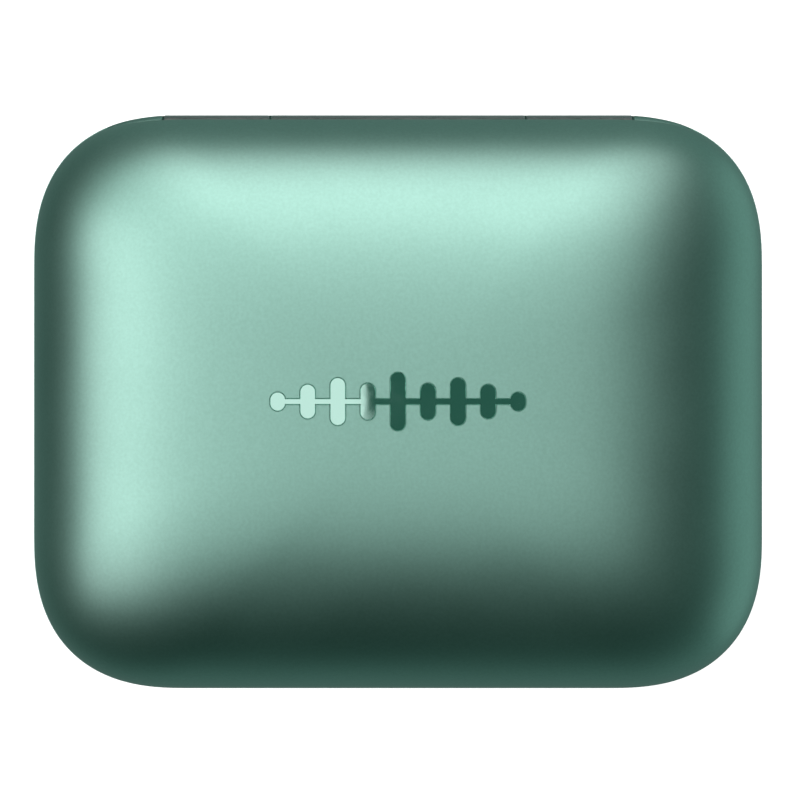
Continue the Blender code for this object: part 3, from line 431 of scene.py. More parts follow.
def mesh_of(name, shape):
    bmesh.ops.recalc_face_normals(shape, faces=shape.faces)
    mesh = bpy.data.meshes.new(name)
    shape.to_mesh(mesh)
    shape.free()
    mesh.shade_smooth()
    mesh.set_sharp_from_angle(angle=math.radians(SHARP_MADE))
    return mesh


def baked(item):
    """Bake the modifiers and the place into the mesh."""
    bpy.context.view_layer.update()
    graph = bpy.context.evaluated_depsgraph_get()
    mesh = bpy.data.meshes.new_from_object(item.evaluated_get(graph))
    item.modifiers.clear()
    mesh.transform(item.matrix_world)
    item.data = mesh
    item.matrix_world = Matrix.Identity(4)
    mesh.shade_smooth()
    mesh.set_sharp_from_angle(angle=math.radians(SHARP_BAKED))
    return item


def boolean(item, other, operation="DIFFERENCE"):
    """Cut or join another shape and remove it."""
    modifier = item.modifiers.new("boolean", "BOOLEAN")
    modifier.operation = operation
    modifier.solver = "EXACT"
    modifier.object = other
    baked(item)
    bpy.data.objects.remove(other, do_unlink=True)


def bevelled(item, width, segments=3):
    bevel = item.modifiers.new("bevel", "BEVEL")
    bevel.width = width
    bevel.segments = segments
    bevel.limit_method = "ANGLE"
    bevel.angle_limit = math.radians(BEVEL_ANGLE)
    return baked(item)


def box_and_middle(node):
    low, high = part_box(node)
    return low, high, (low + high) / 2


def stands_for(item, *nodes):
    """Give a fine piece the body, the finish and the place of the CAD nodes it replaces."""
    first = nodes[0]
    item.data.materials.clear()
    item.data.materials.append(MATERIALS[SLOT_OF[first]])
    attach(item, BODY_OF[first])
    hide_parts(*nodes)
    return item


def lathe(name, profile, location=(0, 0, 0), rotation=UPRIGHT, steps=ROUND_STEPS):
    """A (radius, height) profile turned about local Z; ends on the axis are poles."""
    shape = bmesh.new()
    rings = []
    for radius, height in profile:
        if radius <= 0:
            rings.append([shape.verts.new((0, 0, height))])
            continue
        ring = []
        for step in range(steps):
            angle = math.tau * step / steps
            ring.append(shape.verts.new((radius * math.cos(angle), radius * math.sin(angle), height)))
        rings.append(ring)
    for one, two in zip(rings, rings[1:]):
        join_rings(shape, one, two)
    return new_object(name, mesh_of(name, shape), location, rotation)


def join_rings(shape, one, two):
    """Quads between two rings, or a fan where one of them is a single point."""
    count = max(len(one), len(two))
    for index in range(count):
        following = (index + 1) % count
        if len(one) == 1:
            shape.faces.new((one[0], two[following], two[index]))
        elif len(two) == 1:
            shape.faces.new((one[index], one[following], two[0]))
        else:
            shape.faces.new((one[index], one[following], two[following], two[index]))


def block(name, low, high):
    shape = bmesh.new()
    low = Vector(low)
    high = Vector(high)
    scale = Matrix.Diagonal((*(high - low), 1))
    bmesh.ops.create_cube(shape, size=1, matrix=Matrix.Translation((low + high) / 2) @ scale)
    return new_object(name, mesh_of(name, shape))


def slot_points(length, width):
    """A round-ended slot in the local XY plane, its long side along Y."""
    radius = width / 2
    reach = length / 2 - radius
    points = []
    for side in (1, -1):
        for step in range(SLOT_STEPS + 1):
            angle = math.pi * step / SLOT_STEPS
            points.append((side * radius * math.cos(angle), side * (reach + radius * math.sin(angle))))
    return points


def slot_loft(name, length, width, sections, location, rotation):
    """A round-ended slot carried along local Z through (height, growth) sections."""
    shape = bmesh.new()
    rings = []
    for height, growth in sections:
        outline = slot_points(length + 2 * growth, width + 2 * growth)
        rings.append([shape.verts.new((x, y, height)) for x, y in outline])
    for one, two in zip(rings, rings[1:]):
        join_rings(shape, one, two)
    shape.faces.new(rings[0])
    shape.faces.new(rings[-1])
    return new_object(name, mesh_of(name, shape), location, rotation)


# ---- the pillow

def plan_outline(half_x, half_y, corner):
    """The plan outline as a closed list of points, anticlockwise, denser in the corners."""
    quarter = []
    side = half_y - corner
    for step in range(round(side / SIDE_STEP)):
        quarter.append((half_x, side * step / round(side / SIDE_STEP)))
    for step in range(CORNER_STEPS + 1):
        angle = math.pi / 2 * step / CORNER_STEPS
        along_x = max(math.cos(angle), 0) ** (2 / CORNER_POWER)
        along_y = max(math.sin(angle), 0) ** (2 / CORNER_POWER)
        quarter.append((half_x - corner * (1 - along_x), half_y - corner * (1 - along_y)))
    top = half_x - corner
    count = round(top / SIDE_STEP)
    for step in range(count - 1, -1, -1):
        quarter.append((top * step / count, half_y))
    left = [(-x, y) for x, y in reversed(quarter[:-1])]
    upper = quarter + left[:-1]
    return upper + [(-x, -y) for x, y in upper]


def edge_scale(rise, half_height):
    return max(1 - (rise / half_height) ** 2, 0) ** (1 / EDGE_POWER)


def pillow_point(column, angle, wall=0.0):
    """A point on the pillow over a point of the plan outline: equator at angle 0, crown at 90 degrees."""
    half_height = (LID_RISE if angle >= 0 else BASE_DROP) - wall
    scale = max(math.cos(angle), 0) ** (2 / EDGE_POWER)
    return Vector((column[0] * scale, column[1] * scale, EQUATOR_Z + half_height * math.sin(angle)))


def wall_reach(x):
    """How far the outline at the seam stands behind the hinge axis."""
    scale = edge_scale(HINGE_Z - EQUATOR_Z, LID_RISE)
    corner = CORNER_EXTENT * scale
    past = max(abs(x) - (HALF_X * scale - corner), 0) / corner
    if past >= 1:
        return -HINGE_Y
    return HALF_Y * scale - corner * (1 - (1 - past ** CORNER_POWER) ** (1 / CORNER_POWER)) - HINGE_Y


def hinge_room(x):
    """Radius of the room round the hinge axis that both walls leave free."""
    if abs(x) > RELIEF_END_X:
        return 0
    return max(wall_reach(x), 0) / math.cos(RELIEF_HALF_ANGLE) + FIT_GAP / 2


def in_hinge_room(point):
    return math.hypot(point.y - HINGE_Y, point.z - HINGE_Z) < hinge_room(point.x)


def rim_angle(column, start, step, wall):
    """The angle at which a wall starts: its rim, or where it comes clear of the hinge's room."""
    if not in_hinge_room(pillow_point(column, start, wall)):
        return start
    inside = start
    outside = start
    while in_hinge_room(pillow_point(column, outside, wall)):
        inside = outside
        outside += step
    for _ in range(HALVINGS):
        middle = (inside + outside) / 2
        if in_hinge_room(pillow_point(column, middle, wall)):
            inside = middle
        else:
            outside = middle
    return outside


def level_angle(z, wall=0.0):
    half_height = (LID_RISE if z >= EQUATOR_Z else BASE_DROP) - wall
    return math.asin((z - EQUATOR_Z) / half_height)


def surface_rings(columns, wall, rim_z, upward):
    """Rings from the rim to just short of the centre line, over the lid's dome or down the base's bowl."""
    start = level_angle(rim_z, wall)
    step = math.radians(RIM_SEARCH_STEP if upward else -RIM_SEARCH_STEP)
    starts = [rim_angle(column, start, step, wall) for column in columns]
    floor_z = WALL if wall else 0.0
    last = math.radians(CROWN_START) if upward else level_angle(floor_z, wall)
    rings = []
    for ring in range(EDGE_RINGS + 1):
        share = ring / EDGE_RINGS
        rings.append([pillow_point(column, first + (last - first) * share, wall)
                      for column, first in zip(columns, starts)])
    last_scale = math.cos(last) ** (2 / EDGE_POWER)
    for ring in range(1, CROWN_RINGS):
        scale = last_scale * (1 - ring / CROWN_RINGS)
        angle = math.acos(scale ** (EDGE_POWER / 2))
        if upward:
            rings.append([pillow_point(column, angle, wall) for column in columns])
        else:
            rings.append([Vector((x * scale, y * scale, floor_z)) for x, y in columns])
    return rings


def rim_rings(outer, inner):
    """Rings across the wall's cut edge, pushed out of the hinge's room."""
    rings = []
    for ring in range(1, RIM_RINGS + 1):
        share = ring / (RIM_RINGS + 1)
        points = []
        for one, two in zip(outer, inner):
            point = one.lerp(two, share)
            radius = hinge_room(point.x)
            offset = Vector((0, point.y - HINGE_Y, point.z - HINGE_Z))
            if offset.length < radius:
                point += offset * (radius / offset.length - 1)
            points.append(point)
        rings.append(points)
    return rings


def shell_skin(name, rim_z, upward):
    """Half of the pillow as a closed shell of the wall's thickness, with smooth faces."""
    outer_plan = plan_outline(HALF_X, HALF_Y, CORNER_EXTENT)
    inner_plan = plan_outline(HALF_X - WALL, HALF_Y - WALL, CORNER_EXTENT - WALL)
    outer = surface_rings(outer_plan, 0.0, rim_z, upward)
    inner = surface_rings(inner_plan, WALL, rim_z, upward)
    between = rim_rings(outer[0], inner[0])
    outer_pole = Vector((0, 0, HEIGHT if upward else 0))
    inner_pole = Vector((0, 0, HEIGHT - WALL if upward else WALL))
    rings = [[outer_pole]] + outer[::-1] + between + inner + [[inner_pole]]
    shape = bmesh.new()
    made = [[shape.verts.new(point) for point in ring] for ring in rings]
    for one, two in zip(made, made[1:]):
        join_rings(shape, one, two)
    return new_object(name, mesh_of(name, shape))


def lid_skin():
    lid = shell_skin("lid_shell_skin", LID_RIM_Z, True)
    bevelled(lid, RIM_ROUND)
    boolean(lid, mark_solid("mark_pocket", MARK_GAP, HEIGHT - MARK_POCKET, HEIGHT + CUT_PAST))
    return stands_for(lid, "lid_shell")


def base_skin():
    """The lower shell with the openings for the port, the button and the light."""
    base = shell_skin("base_shell_skin", BASE_RIM_Z, False)
    low, high, middle = box_and_middle("usb_shell")
    wall_opening(base, high.x - low.x, high.z - low.z, OPENING_GAP, PORT_CUT, (0, low.y, middle.z),
                 FACING_BACK_WIDE)
    low, high = wall_part("button_cap")
    middle = (low + high) / 2
    wall_opening(base, high.y - low.y, high.z - low.z, OPENING_GAP, BUTTON_CUT,
                 (BUTTON_CUT_X, middle.y, middle.z), ALONG_X)
    low, high = wall_part("light_pipe")
    middle = (low + high) / 2
    wall_opening(base, high.x - low.x, high.z - low.z, LIGHT_GAP, LIGHT_CUT,
                 (0, -HALF_Y - CUT_PAST, middle.z), FACING_BACK_WIDE)
    bevelled(base, RIM_ROUND)
    return stands_for(base, "base_shell")


def wall_opening(shell, length, width, gap, depth, location, rotation):
    """Cut a round-ended opening that leaves a gap round the piece that fills it."""
    sections = [(0, 0), (depth, 0)]
    boolean(shell, slot_loft("opening", length + 2 * gap, width + 2 * gap, sections, location, rotation))


def wall_part(node):
    """The box of the round-ended part of a flanged piece that fills an opening in the wall."""
    low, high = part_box(node)
    flange = FLANGE_OF[node]
    if node == "button_cap":
        inset = Vector((0, flange, flange))
    else:
        inset = Vector((flange, 0, flange))
    return low + inset, high - inset


def wall_distance(half, z):
    """How far the outside stands from the centre plane at a level, on a straight side."""
    return half * edge_scale(z - EQUATOR_Z, LID_RISE if z >= EQUATOR_Z else BASE_DROP)


def follow_wall(item, axis, half, proud, z_low, z_high):
    """Slice a plug at many levels and lay its outer end on the curve of the wall."""
    bpy.context.view_layer.update()
    shape = bmesh.new()
    shape.from_mesh(item.data)
    shape.transform(item.matrix_world)
    for cut in range(1, WALL_SLICES):
        level = z_low + (z_high - z_low) * cut / WALL_SLICES
        everything = shape.verts[:] + shape.edges[:] + shape.faces[:]
        bmesh.ops.bisect_plane(shape, geom=everything, plane_co=(0, 0, level), plane_no=(0, 0, 1))
    sign = 1 if half > 0 else -1
    outermost = max(sign * vert.co[axis] for vert in shape.verts)
    for vert in shape.verts:
        behind = outermost - sign * vert.co[axis]
        if behind < WALL_FACE_DEPTH:
            vert.co[axis] = sign * (wall_distance(abs(half), vert.co.z) + proud - behind)
    item.data = mesh_of(item.name, shape)
    item.matrix_world = Matrix.Identity(4)


def button_skin():
    """Round-ended cap with a flange behind the wall and a softened face on the wall's curve."""
    low, high, middle = box_and_middle("button_cap")
    inner_low, inner_high = wall_part("button_cap")
    depth = high.x - low.x
    flange = FLANGE_OF["button_cap"]
    back, front = BUTTON_FLANGE
    face = [(depth + place, growth) for place, growth in BUTTON_FACE]
    cap = slot_loft("button_cap_skin", inner_high.y - inner_low.y, inner_high.z - inner_low.z,
                    [(0, 0), (back, 0), (back, flange), (front, flange), (front, 0)] + face,
                    (low.x, middle.y, middle.z), ALONG_X)
    follow_wall(cap, 0, HALF_X, BUTTON_PROUD, low.z, high.z)
    return stands_for(cap, "button_cap")


def light_pipe_skin():
    """Round-ended light guide with a flange behind the wall."""
    low, high, middle = box_and_middle("light_pipe")
    inner_low, inner_high = wall_part("light_pipe")
    depth = high.y - low.y
    flange = FLANGE_OF["light_pipe"]
    front, back = LIGHT_FLANGE
    sections = [(0, -LIGHT_BEVEL), (LIGHT_BEVEL, 0), (front, 0), (front, flange), (back, flange), (back, 0),
                (depth, 0)]
    pipe = slot_loft("light_pipe_skin", inner_high.x - inner_low.x, inner_high.z - inner_low.z, sections,
                     (0, low.y, middle.z), FACING_BACK_WIDE)
    follow_wall(pipe, 1, -HALF_Y, LIGHT_PROUD, low.z, high.z)
    return stands_for(pipe, "light_pipe")


# ---- earbud seats and mouldings

def arc(centre_x, centre_y, radius, first, last, steps):
    """Points along an arc, from one angle to another in degrees."""
    angles = [math.radians(first + (last - first) * step / steps) for step in range(steps + 1)]
    return [(centre_x + radius * math.cos(angle), centre_y + radius * math.sin(angle)) for angle in angles]


def seat_outline():
    """An earbud's keyhole outline about its head's centre, each point paired with its place on the spine."""
    stem_y = STEM_END_Y - HEAD_Y
    spine_start = stem_y + STEM_HALF
    fillet_x = STEM_HALF + SEAT_FILLET_R
    fillet_y = -math.sqrt((HEAD_R + SEAT_FILLET_R) ** 2 - fillet_x ** 2)
    meeting = math.degrees(math.atan2(fillet_y, fillet_x))
    end = [(0, stem_y)] + arc(STEM_HALF - STEM_END_R, stem_y + STEM_END_R, STEM_END_R, -90, 0, 8)
    side_start = stem_y + STEM_END_R
    side = [(STEM_HALF, side_start + (fillet_y - side_start) * step / 10) for step in range(1, 10)]
    fillet = arc(fillet_x, fillet_y, SEAT_FILLET_R, 180, 180 + meeting, 6)
    head = arc(0, 0, HEAD_R, meeting, 90, 24)[1:]
    pairs = [(point, (0, spine_start)) for point in end]
    pairs += [(point, (0, max(point[1], spine_start))) for point in side]
    pairs += [(point, (0, fillet_y * (1 - step / 6))) for step, point in enumerate(fillet)]
    pairs += [(point, (0, 0)) for point in head]
    mirrored = [((-point[0], point[1]), spine) for point, spine in reversed(pairs[1:-1])]
    return pairs + mirrored, fillet_y


def seat_point(pair, share, growth):
    """A point between the spine and the outline; growth moves the outline outwards."""
    outline = Vector(pair[0])
    spine = Vector(pair[1])
    away = outline - spine
    return spine + away * share * (1 + growth / away.length)


def seat_depth(pair, fillet_y, head_depth, stem_depth):
    """Depth below the spine: the stem's, rising smoothly to the head's."""
    along = min(max(1 - pair[1][1] / fillet_y, 0), 1)
    return stem_depth + (head_depth - stem_depth) * along * along * (3 - 2 * along)


def seat_sections(lip):
    """(share from the spine, share of the depth, lip growth, lip drop) from the mouth to the spine."""
    sections = []
    for step in range(6 if lip else 0):
        angle = math.pi / 2 * step / 6
        sections.append((1, 0, lip * (1 - math.sin(angle)), lip * (1 - math.cos(angle))))
    for step in range(SEAT_RINGS + 1):
        angle = math.pi / 2 * step / SEAT_RINGS
        sections.append((math.cos(angle) ** 0.5, math.sin(angle) ** 0.5, 0, lip))
    return sections


def seats(name, level, upward, head_depth, stem_depth, growth=0.0, lip=0.0, beyond=0.0):
    """Both earbud seats as closed solids with smooth bowls, below a level or, upward, above it."""
    pairs, fillet_y = seat_outline()
    sign = 1 if upward else -1
    shape = bmesh.new()
    for centre_x in (-HEAD_X, HEAD_X):
        rings = []
        if beyond:
            points = [seat_point(pair, 1, growth + lip) for pair in pairs]
            rings.append([shape.verts.new((centre_x + point.x, HEAD_Y + point.y, level - sign * beyond))
                          for point in points])
        for share, depth_share, lip_growth, drop in seat_sections(lip):
            ring = []
            for pair in pairs:
                point = seat_point(pair, share, growth + lip_growth)
                depth = seat_depth(pair, fillet_y, head_depth, stem_depth) - lip
                z = level + sign * (drop + depth * depth_share)
                ring.append(shape.verts.new((centre_x + point.x, HEAD_Y + point.y, z)))
            rings.append(ring)
        for one, two in zip(rings, rings[1:]):
            join_rings(shape, one, two)
        shape.faces.new(rings[0])
    bmesh.ops.remove_doubles(shape, verts=shape.verts, dist=0.001 * MM)
    bmesh.ops.dissolve_degenerate(shape, edges=shape.edges, dist=0.0001 * MM)
    return new_object(name, mesh_of(name, shape))


def twins(item):
    """Add the mirror image across the centre plane to the same mesh."""
    baked(item)
    shape = bmesh.new()
    shape.from_mesh(item.data)
    copies = bmesh.ops.duplicate(shape, geom=shape.verts[:] + shape.edges[:] + shape.faces[:])["geom"]
    copied = [element for element in copies if isinstance(element, bmesh.types.BMVert)]
    for vert in copied:
        vert.co.x = -vert.co.x
    shape.normal_update()
    item.data = mesh_of(item.name, shape)
    return item


def cup(name, x, y, radius, floor_z, top_z, rounding):
    """A pair of round pockets with rounded floors."""
    corner = arc(radius - rounding, rounding, rounding, -90, 0, 10)
    profile = [(0, 0)] + corner + [(radius, top_z - floor_z), (0, top_z - floor_z)]
    return twins(lathe(name, profile, (x, y, floor_z)))


def drilled(name, x, y, radius, low_z, high_z):
    """A pair of plain round cutters."""
    height = high_z - low_z
    profile = [(0, 0), (radius, 0), (radius, height), (0, height)]
    return twins(lathe(name, profile, (x, y, low_z), steps=SMALL_STEPS))


def wall_plate(name, low_z, high_z):
    """A plate that fills the pillow's inside between two levels, its edge following the wall."""
    inset = WALL + FIT_GAP
    plan = plan_outline(HALF_X - inset, HALF_Y - inset, CORNER_EXTENT - inset)
    shape = bmesh.new()
    rings = []
    for step in range(4):
        z = low_z + (high_z - low_z) * step / 3
        rings.append([shape.verts.new(pillow_point(column, level_angle(z, inset), inset)) for column in plan])
    for one, two in zip(rings, rings[1:]):
        join_rings(shape, one, two)
    shape.faces.new(rings[0])
    shape.faces.new(rings[-1])
    return new_object(name, mesh_of(name, shape))


def flat_faces_stay_flat(item):
    """Level faces keep their own shading, so that the roundings beside them don't tint them."""
    for face in item.data.polygons:
        if abs(face.normal.z) > 0.99999:
            face.use_smooth = False


def on_hinge_axis(name, profile):
    """A (radius, place along the axis) profile turned about the hinge's axis."""
    return baked(lathe(name, profile, (0, HINGE_Y, HINGE_Z), ALONG_X))


def barrel_room():
    radius = BARREL_R + BARREL_GAP
    return on_hinge_axis("barrel_room", [(0, -RECESS_HALF), (radius, -RECESS_HALF), (radius, RECESS_HALF),
                                         (0, RECESS_HALF)])


def spindle(name, start, end, radius_at, steps=24):
    """A solid round the hinge axis between two places along it; the radius follows a function."""
    stations = [start + (end - start) * step / steps for step in range(steps + 1)]
    profile = [(max(radius_at(station), 0.02 * MM), station) for station in stations]
    return on_hinge_axis(name, [(0, start)] + profile + [(0, end)])


def tray_skin():
    """Plate under the seam with two smooth earbud seats, tip pockets, contact holes and the leaf's recess."""
    top = TRAY_TOP_Z
    tray = wall_plate("cradle_tray_skin", top - TRAY_THICK, top)
    hull_top = top - TRAY_THICK / 2
    boolean(tray, seats("seat_hulls", hull_top, False, hull_top - HEAD_FLOOR_Z + MOULD_WALL,
                        hull_top - STEM_FLOOR_Z + MOULD_WALL, MOULD_WALL), "UNION")
    boolean(tray, cup("tip_hulls", TIP_X, TIP_Y, TIP_R + MOULD_WALL, TIP_FLOOR_Z - MOULD_WALL,
                      HEAD_FLOOR_Z + CUT_PAST, TIP_HULL_ROUND), "UNION")
    boolean(tray, block("leaf_seat", (-SEAT_HALF, SEAT_FRONT_Y, BASE_SEAT_LOW_Z),
                        (SEAT_HALF, SEAT_BACK_Y, hull_top)), "UNION")
    boolean(tray, seats("seat_cut", top, False, top - HEAD_FLOOR_Z, top - STEM_FLOOR_Z, lip=SEAT_LIP,
                        beyond=CUT_PAST))
    boolean(tray, cup("tip_cut", TIP_X, TIP_Y, TIP_R, TIP_FLOOR_Z, HEAD_FLOOR_Z + 2 * CUT_PAST, TIP_ROUND))
    boolean(tray, block("leaf_recess", (-RECESS_HALF, RECESS_FRONT_Y, LEAF_TOP_Z - LEAF_THICK - LEAF_GAP),
                        (RECESS_HALF, RECESS_BACK_Y, top + 2 * CUT_PAST)))
    boolean(tray, barrel_room())
    for y in CONTACT_YS:
        boolean(tray, drilled("contact_hole", HEAD_X, y, CONTACT_HOLE_R, CONTACT_HOLE_LOW_Z,
                              CONTACT_HOLE_HIGH_Z))
    flat_faces_stay_flat(stands_for(tray, "cradle_tray"))


def hinge_ends():
    """The tapered ends beside the barrel, moulded on the tray and finished like the shells."""
    for side in (-1, 1):
        name = "hinge_end_left" if side < 0 else "hinge_end_right"
        end = spindle(name, side * HINGE_END_START, side * HINGE_END_STOP, lambda x: wall_reach(abs(x)))
        bevelled(end, HINGE_END_ROUND)
        end.data.materials.clear()
        end.data.materials.append(MATERIALS["satin_green"])
        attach(end, BODY_OF["cradle_tray"])


def liner_skin():
    """Plate above the seam with the hollows over the earbuds and the lid leaf's recess."""
    low = LINER_LOW_Z
    liner = wall_plate("lid_liner_skin", low, low + LINER_THICK)
    hull_low = low + LINER_THICK / 2
    boolean(liner, seats("hollow_hulls", hull_low, True, HEAD_ROOF_Z - hull_low + MOULD_WALL,
                         STEM_ROOF_Z - hull_low + MOULD_WALL, MOULD_WALL), "UNION")
    boolean(liner, block("lid_leaf_seat", (-SEAT_HALF, SEAT_FRONT_Y, hull_low),
                         (SEAT_HALF, SEAT_BACK_Y, LID_SEAT_TOP_Z)), "UNION")
    boolean(liner, seats("hollow_cut", low, True, HEAD_ROOF_Z - low, STEM_ROOF_Z - low, lip=SEAT_LIP,
                         beyond=CUT_PAST))
    boolean(liner, block("lid_leaf_recess", (-RECESS_HALF, RECESS_FRONT_Y, low - 2 * CUT_PAST),
                         (RECESS_HALF, RECESS_BACK_Y, low + LEAF_THICK + LEAF_GAP)))
    magnet_low, magnet_high, middle = box_and_middle("lid_magnet_right")
    magnet_r = (magnet_high.x - magnet_low.x) / 2
    boolean(liner, drilled("magnet_pocket", middle.x, middle.y, magnet_r + MAGNET_GAP,
                           magnet_low.z - MAGNET_FLOOR_GAP, magnet_high.z + 2 * CUT_PAST))
    boolean(liner, spindle("hinge_relief", -RELIEF_END_X, RELIEF_END_X, hinge_room, 60))
    flat_faces_stay_flat(stands_for(liner, "lid_liner"))


# ---- hinge

def knuckle(name, start, end):
    """One barrel segment with rounded ends."""
    rounded = [(BARREL_R - KNUCKLE_ROUND + radius, along)
               for radius, along in arc(0, start + KNUCKLE_ROUND, KNUCKLE_ROUND, -90, 0, 4)]
    far = [(radius, start + end - along) for radius, along in reversed(rounded)]
    return on_hinge_axis(name, [(0, start)] + rounded + far + [(0, end)])


def leaf_bore(name, sections):
    """A stepped cutter along the hinge axis, from (place along it, radius) pairs on the right-hand side."""
    half = [(radius, along) for along, radius in sections]
    left = [(radius, -along) for radius, along in reversed(half)]
    return on_hinge_axis(name, [(0, left[0][1])] + left + half + [(0, half[-1][1])])


def screw_holes(name, face_z, upward):
    """A pair of countersunk holes; the wide end opens at the face, up or down."""
    sign = 1 if upward else -1
    profile = [(0, 0.3 * MM), (SCREW_HEAD_R + SCREW_GAP, 0.3 * MM), (SCREW_HEAD_R + SCREW_GAP, 0),
               (SCREW_R + SCREW_GAP, -SCREW_HEAD_H), (SCREW_R + SCREW_GAP, -2 * MM), (0, -2 * MM)]
    turned = [(radius, sign * height) for radius, height in profile]
    return twins(lathe(name, turned, (LEAF_SCREW_X, LEAF_SCREW_Y, face_z)))


def leaf_plate(name, right_half, low_z):
    """A symmetric sheet with softened edges, from the right half of its outline."""
    outline = right_half + [(-x, y) for x, y in reversed(right_half)]
    shape = bmesh.new()
    floor = [shape.verts.new((x, y, low_z)) for x, y in outline]
    roof = [shape.verts.new((x, y, low_z + LEAF_THICK)) for x, y in outline]
    join_rings(shape, floor, roof)
    shape.faces.new(floor)
    shape.faces.new(roof)
    return bevelled(new_object(name, mesh_of(name, shape)), LEAF_ROUND)


def base_leaf_skin():
    """Plate with two end knuckles on the base."""
    inner = MIDDLE_HALF + 2 * KNUCKLE_GAP
    outline = [(LEAF_HALF, LEAF_FRONT_Y), (LEAF_HALF, HINGE_Y), (inner, HINGE_Y), (inner, LEAF_BACK_Y)]
    leaf = leaf_plate("hinge_base_leaf_skin", outline, LEAF_TOP_Z - LEAF_THICK)
    boolean(leaf, screw_holes("base_leaf_holes", LEAF_TOP_Z, True))
    boolean(leaf, twins(knuckle("base_knuckles", MIDDLE_HALF + KNUCKLE_GAP, BARREL_HALF)), "UNION")
    boolean(leaf, leaf_bore("base_bore", [(BARREL_HALF + CUT_PAST, PIN_HOLE_R)]))
    return stands_for(leaf, "hinge_base_leaf")


def lid_leaf_skin():
    """Plate with the long middle knuckle on the lid."""
    inner = MIDDLE_HALF - KNUCKLE_GAP
    outline = [(LEAF_HALF, LEAF_FRONT_Y), (LEAF_HALF, LEAF_BACK_Y), (inner, LEAF_BACK_Y), (inner, HINGE_Y)]
    leaf = leaf_plate("hinge_lid_leaf_skin", outline, LINER_LOW_Z)
    boolean(leaf, screw_holes("lid_leaf_holes", LINER_LOW_Z, False))
    boolean(leaf, knuckle("lid_knuckle", -MIDDLE_HALF, MIDDLE_HALF), "UNION")
    boolean(leaf, leaf_bore("lid_bore", [(SPRING_BORE_HALF, SPRING_BORE_R), (SPRING_BORE_HALF, PIN_HOLE_R),
                                         (BARREL_HALF, PIN_HOLE_R)]))
    return stands_for(leaf, "hinge_lid_leaf")


def pin_skin():
    low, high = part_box("hinge_pin")
    radius = (high.z - low.z) / 2
    pin = spindle("hinge_pin_skin", low.x, high.x, lambda x: radius, 1)
    bevelled(pin, PIN_ROUND, 4)
    return stands_for(pin, "hinge_pin")


def screw_skin(node):
    """Countersunk screw with a hexagon socket; its head faces up in the base and down in the lid."""
    low, high, middle = box_and_middle(node)
    in_lid = BODY_OF[node] == "lid"
    head_z = low.z if in_lid else high.z
    sign = -1 if in_lid else 1
    length = high.z - low.z
    profile = [(0, 0), (SCREW_HEAD_R - SCREW_RIM, 0), (SCREW_HEAD_R, -SCREW_RIM), (SCREW_R, -SCREW_HEAD_H),
               (SCREW_R, SCREW_POINT - length), (SCREW_POINT, -length), (0, -length)]
    turned = [(radius, sign * height) for radius, height in profile]
    screw = baked(lathe(node + "_skin", turned, (middle.x, middle.y, head_z)))
    profile = [(0, -SOCKET_DEPTH), (SOCKET_R, -SOCKET_DEPTH), (SOCKET_R, SOCKET_DEPTH), (0, SOCKET_DEPTH)]
    boolean(screw, baked(lathe("socket", profile, (middle.x, middle.y, head_z), steps=6)))
    return stands_for(screw, node)


# ---- port, contacts

def port_skin():
    """Receptacle shell of thin sheet with a rounded mouth."""
    low, high, middle = box_and_middle("usb_shell")
    width = high.x - low.x
    height = high.z - low.z
    depth = high.y - low.y
    lip = PORT_METAL / 2
    sections = [(0, 0), (depth - lip, 0)]
    inner = [(depth - lip, -PORT_METAL), (PORT_FLOOR, -PORT_METAL)]
    mouth = [(depth - lip + lip * math.sin(angle), lip * math.cos(angle) - lip)
             for angle in (math.pi * step / 8 for step in range(1, 8))]
    shell = slot_loft("usb_shell_skin", width, height, sections + mouth + inner, (0, low.y, middle.z),
                      FACING_BACK_WIDE)
    return stands_for(baked(shell), "usb_shell")


def tongue_skin():
    """Contact tongue with a row of gold pads on each side."""
    low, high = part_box("usb_tongue")
    tongue = block("usb_tongue_skin", low, high)
    bevelled(tongue, TONGUE_ROUND, 4)
    stands_for(tongue, "usb_tongue")
    scale = Matrix.Diagonal((PAD_WIDTH, PAD_LENGTH, PAD_THICK, 1))
    for side, z in (("top", high.z), ("bottom", low.z)):
        pads = bmesh.new()
        for index in range(PORT_PADS):
            x = (index - (PORT_PADS - 1) / 2) * PAD_PITCH
            place = Matrix.Translation((x, high.y - PAD_LENGTH / 2 - PAD_INSET, z))
            bmesh.ops.create_cube(pads, size=1, matrix=place @ scale)
        row = new_object("usb_pads_" + side, mesh_of("usb_pads_" + side, pads))
        row.data.materials.append(MATERIALS["contact_gold"])
        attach(row, BODY_OF["usb_tongue"])


def plunger_skin(node):
    """Contact pin with a domed tip."""
    low, high, middle = box_and_middle(node)
    radius = (high.x - low.x) / 2
    height = high.z - low.z
    dome = [(radius * math.cos(angle), height - PIN_TIP * (1 - math.sin(angle)))
            for angle in (math.pi / 2 * step / 8 for step in range(8))]
    profile = [(0, 0), (radius, 0)] + dome + [(0, height)]
    pin = lathe(node + "_skin", profile, (middle.x, middle.y, low.z), steps=SMALL_STEPS)
    return stands_for(baked(pin), node)


def barrel_skin(node):
    """Thin-walled tube with a floor, round outside and inside."""
    low, high, middle = box_and_middle(node)
    radius = (high.x - low.x) / 2
    height = high.z - low.z
    profile = [(0, 0), (radius, 0), (radius, height), (radius - TUBE_WALL, height),
               (radius - TUBE_WALL, TUBE_FLOOR), (0, TUBE_FLOOR)]
    tube = lathe(node + "_skin", profile, (middle.x, middle.y, low.z), steps=SMALL_STEPS)
    return stands_for(baked(tube), node)


def wire_ring(shape, centre, along):
    """Circle of vertices square to the spring's wire."""
    side = along.cross(Vector((0, 0, 1))).normalized()
    across = side.cross(along).normalized()
    ring = []
    for step in range(WIRE_STEPS):
        angle = math.tau * step / WIRE_STEPS
        offset = math.cos(angle) * side + math.sin(angle) * across
        ring.append(shape.verts.new(centre + SPRING_WIRE * offset))
    return ring


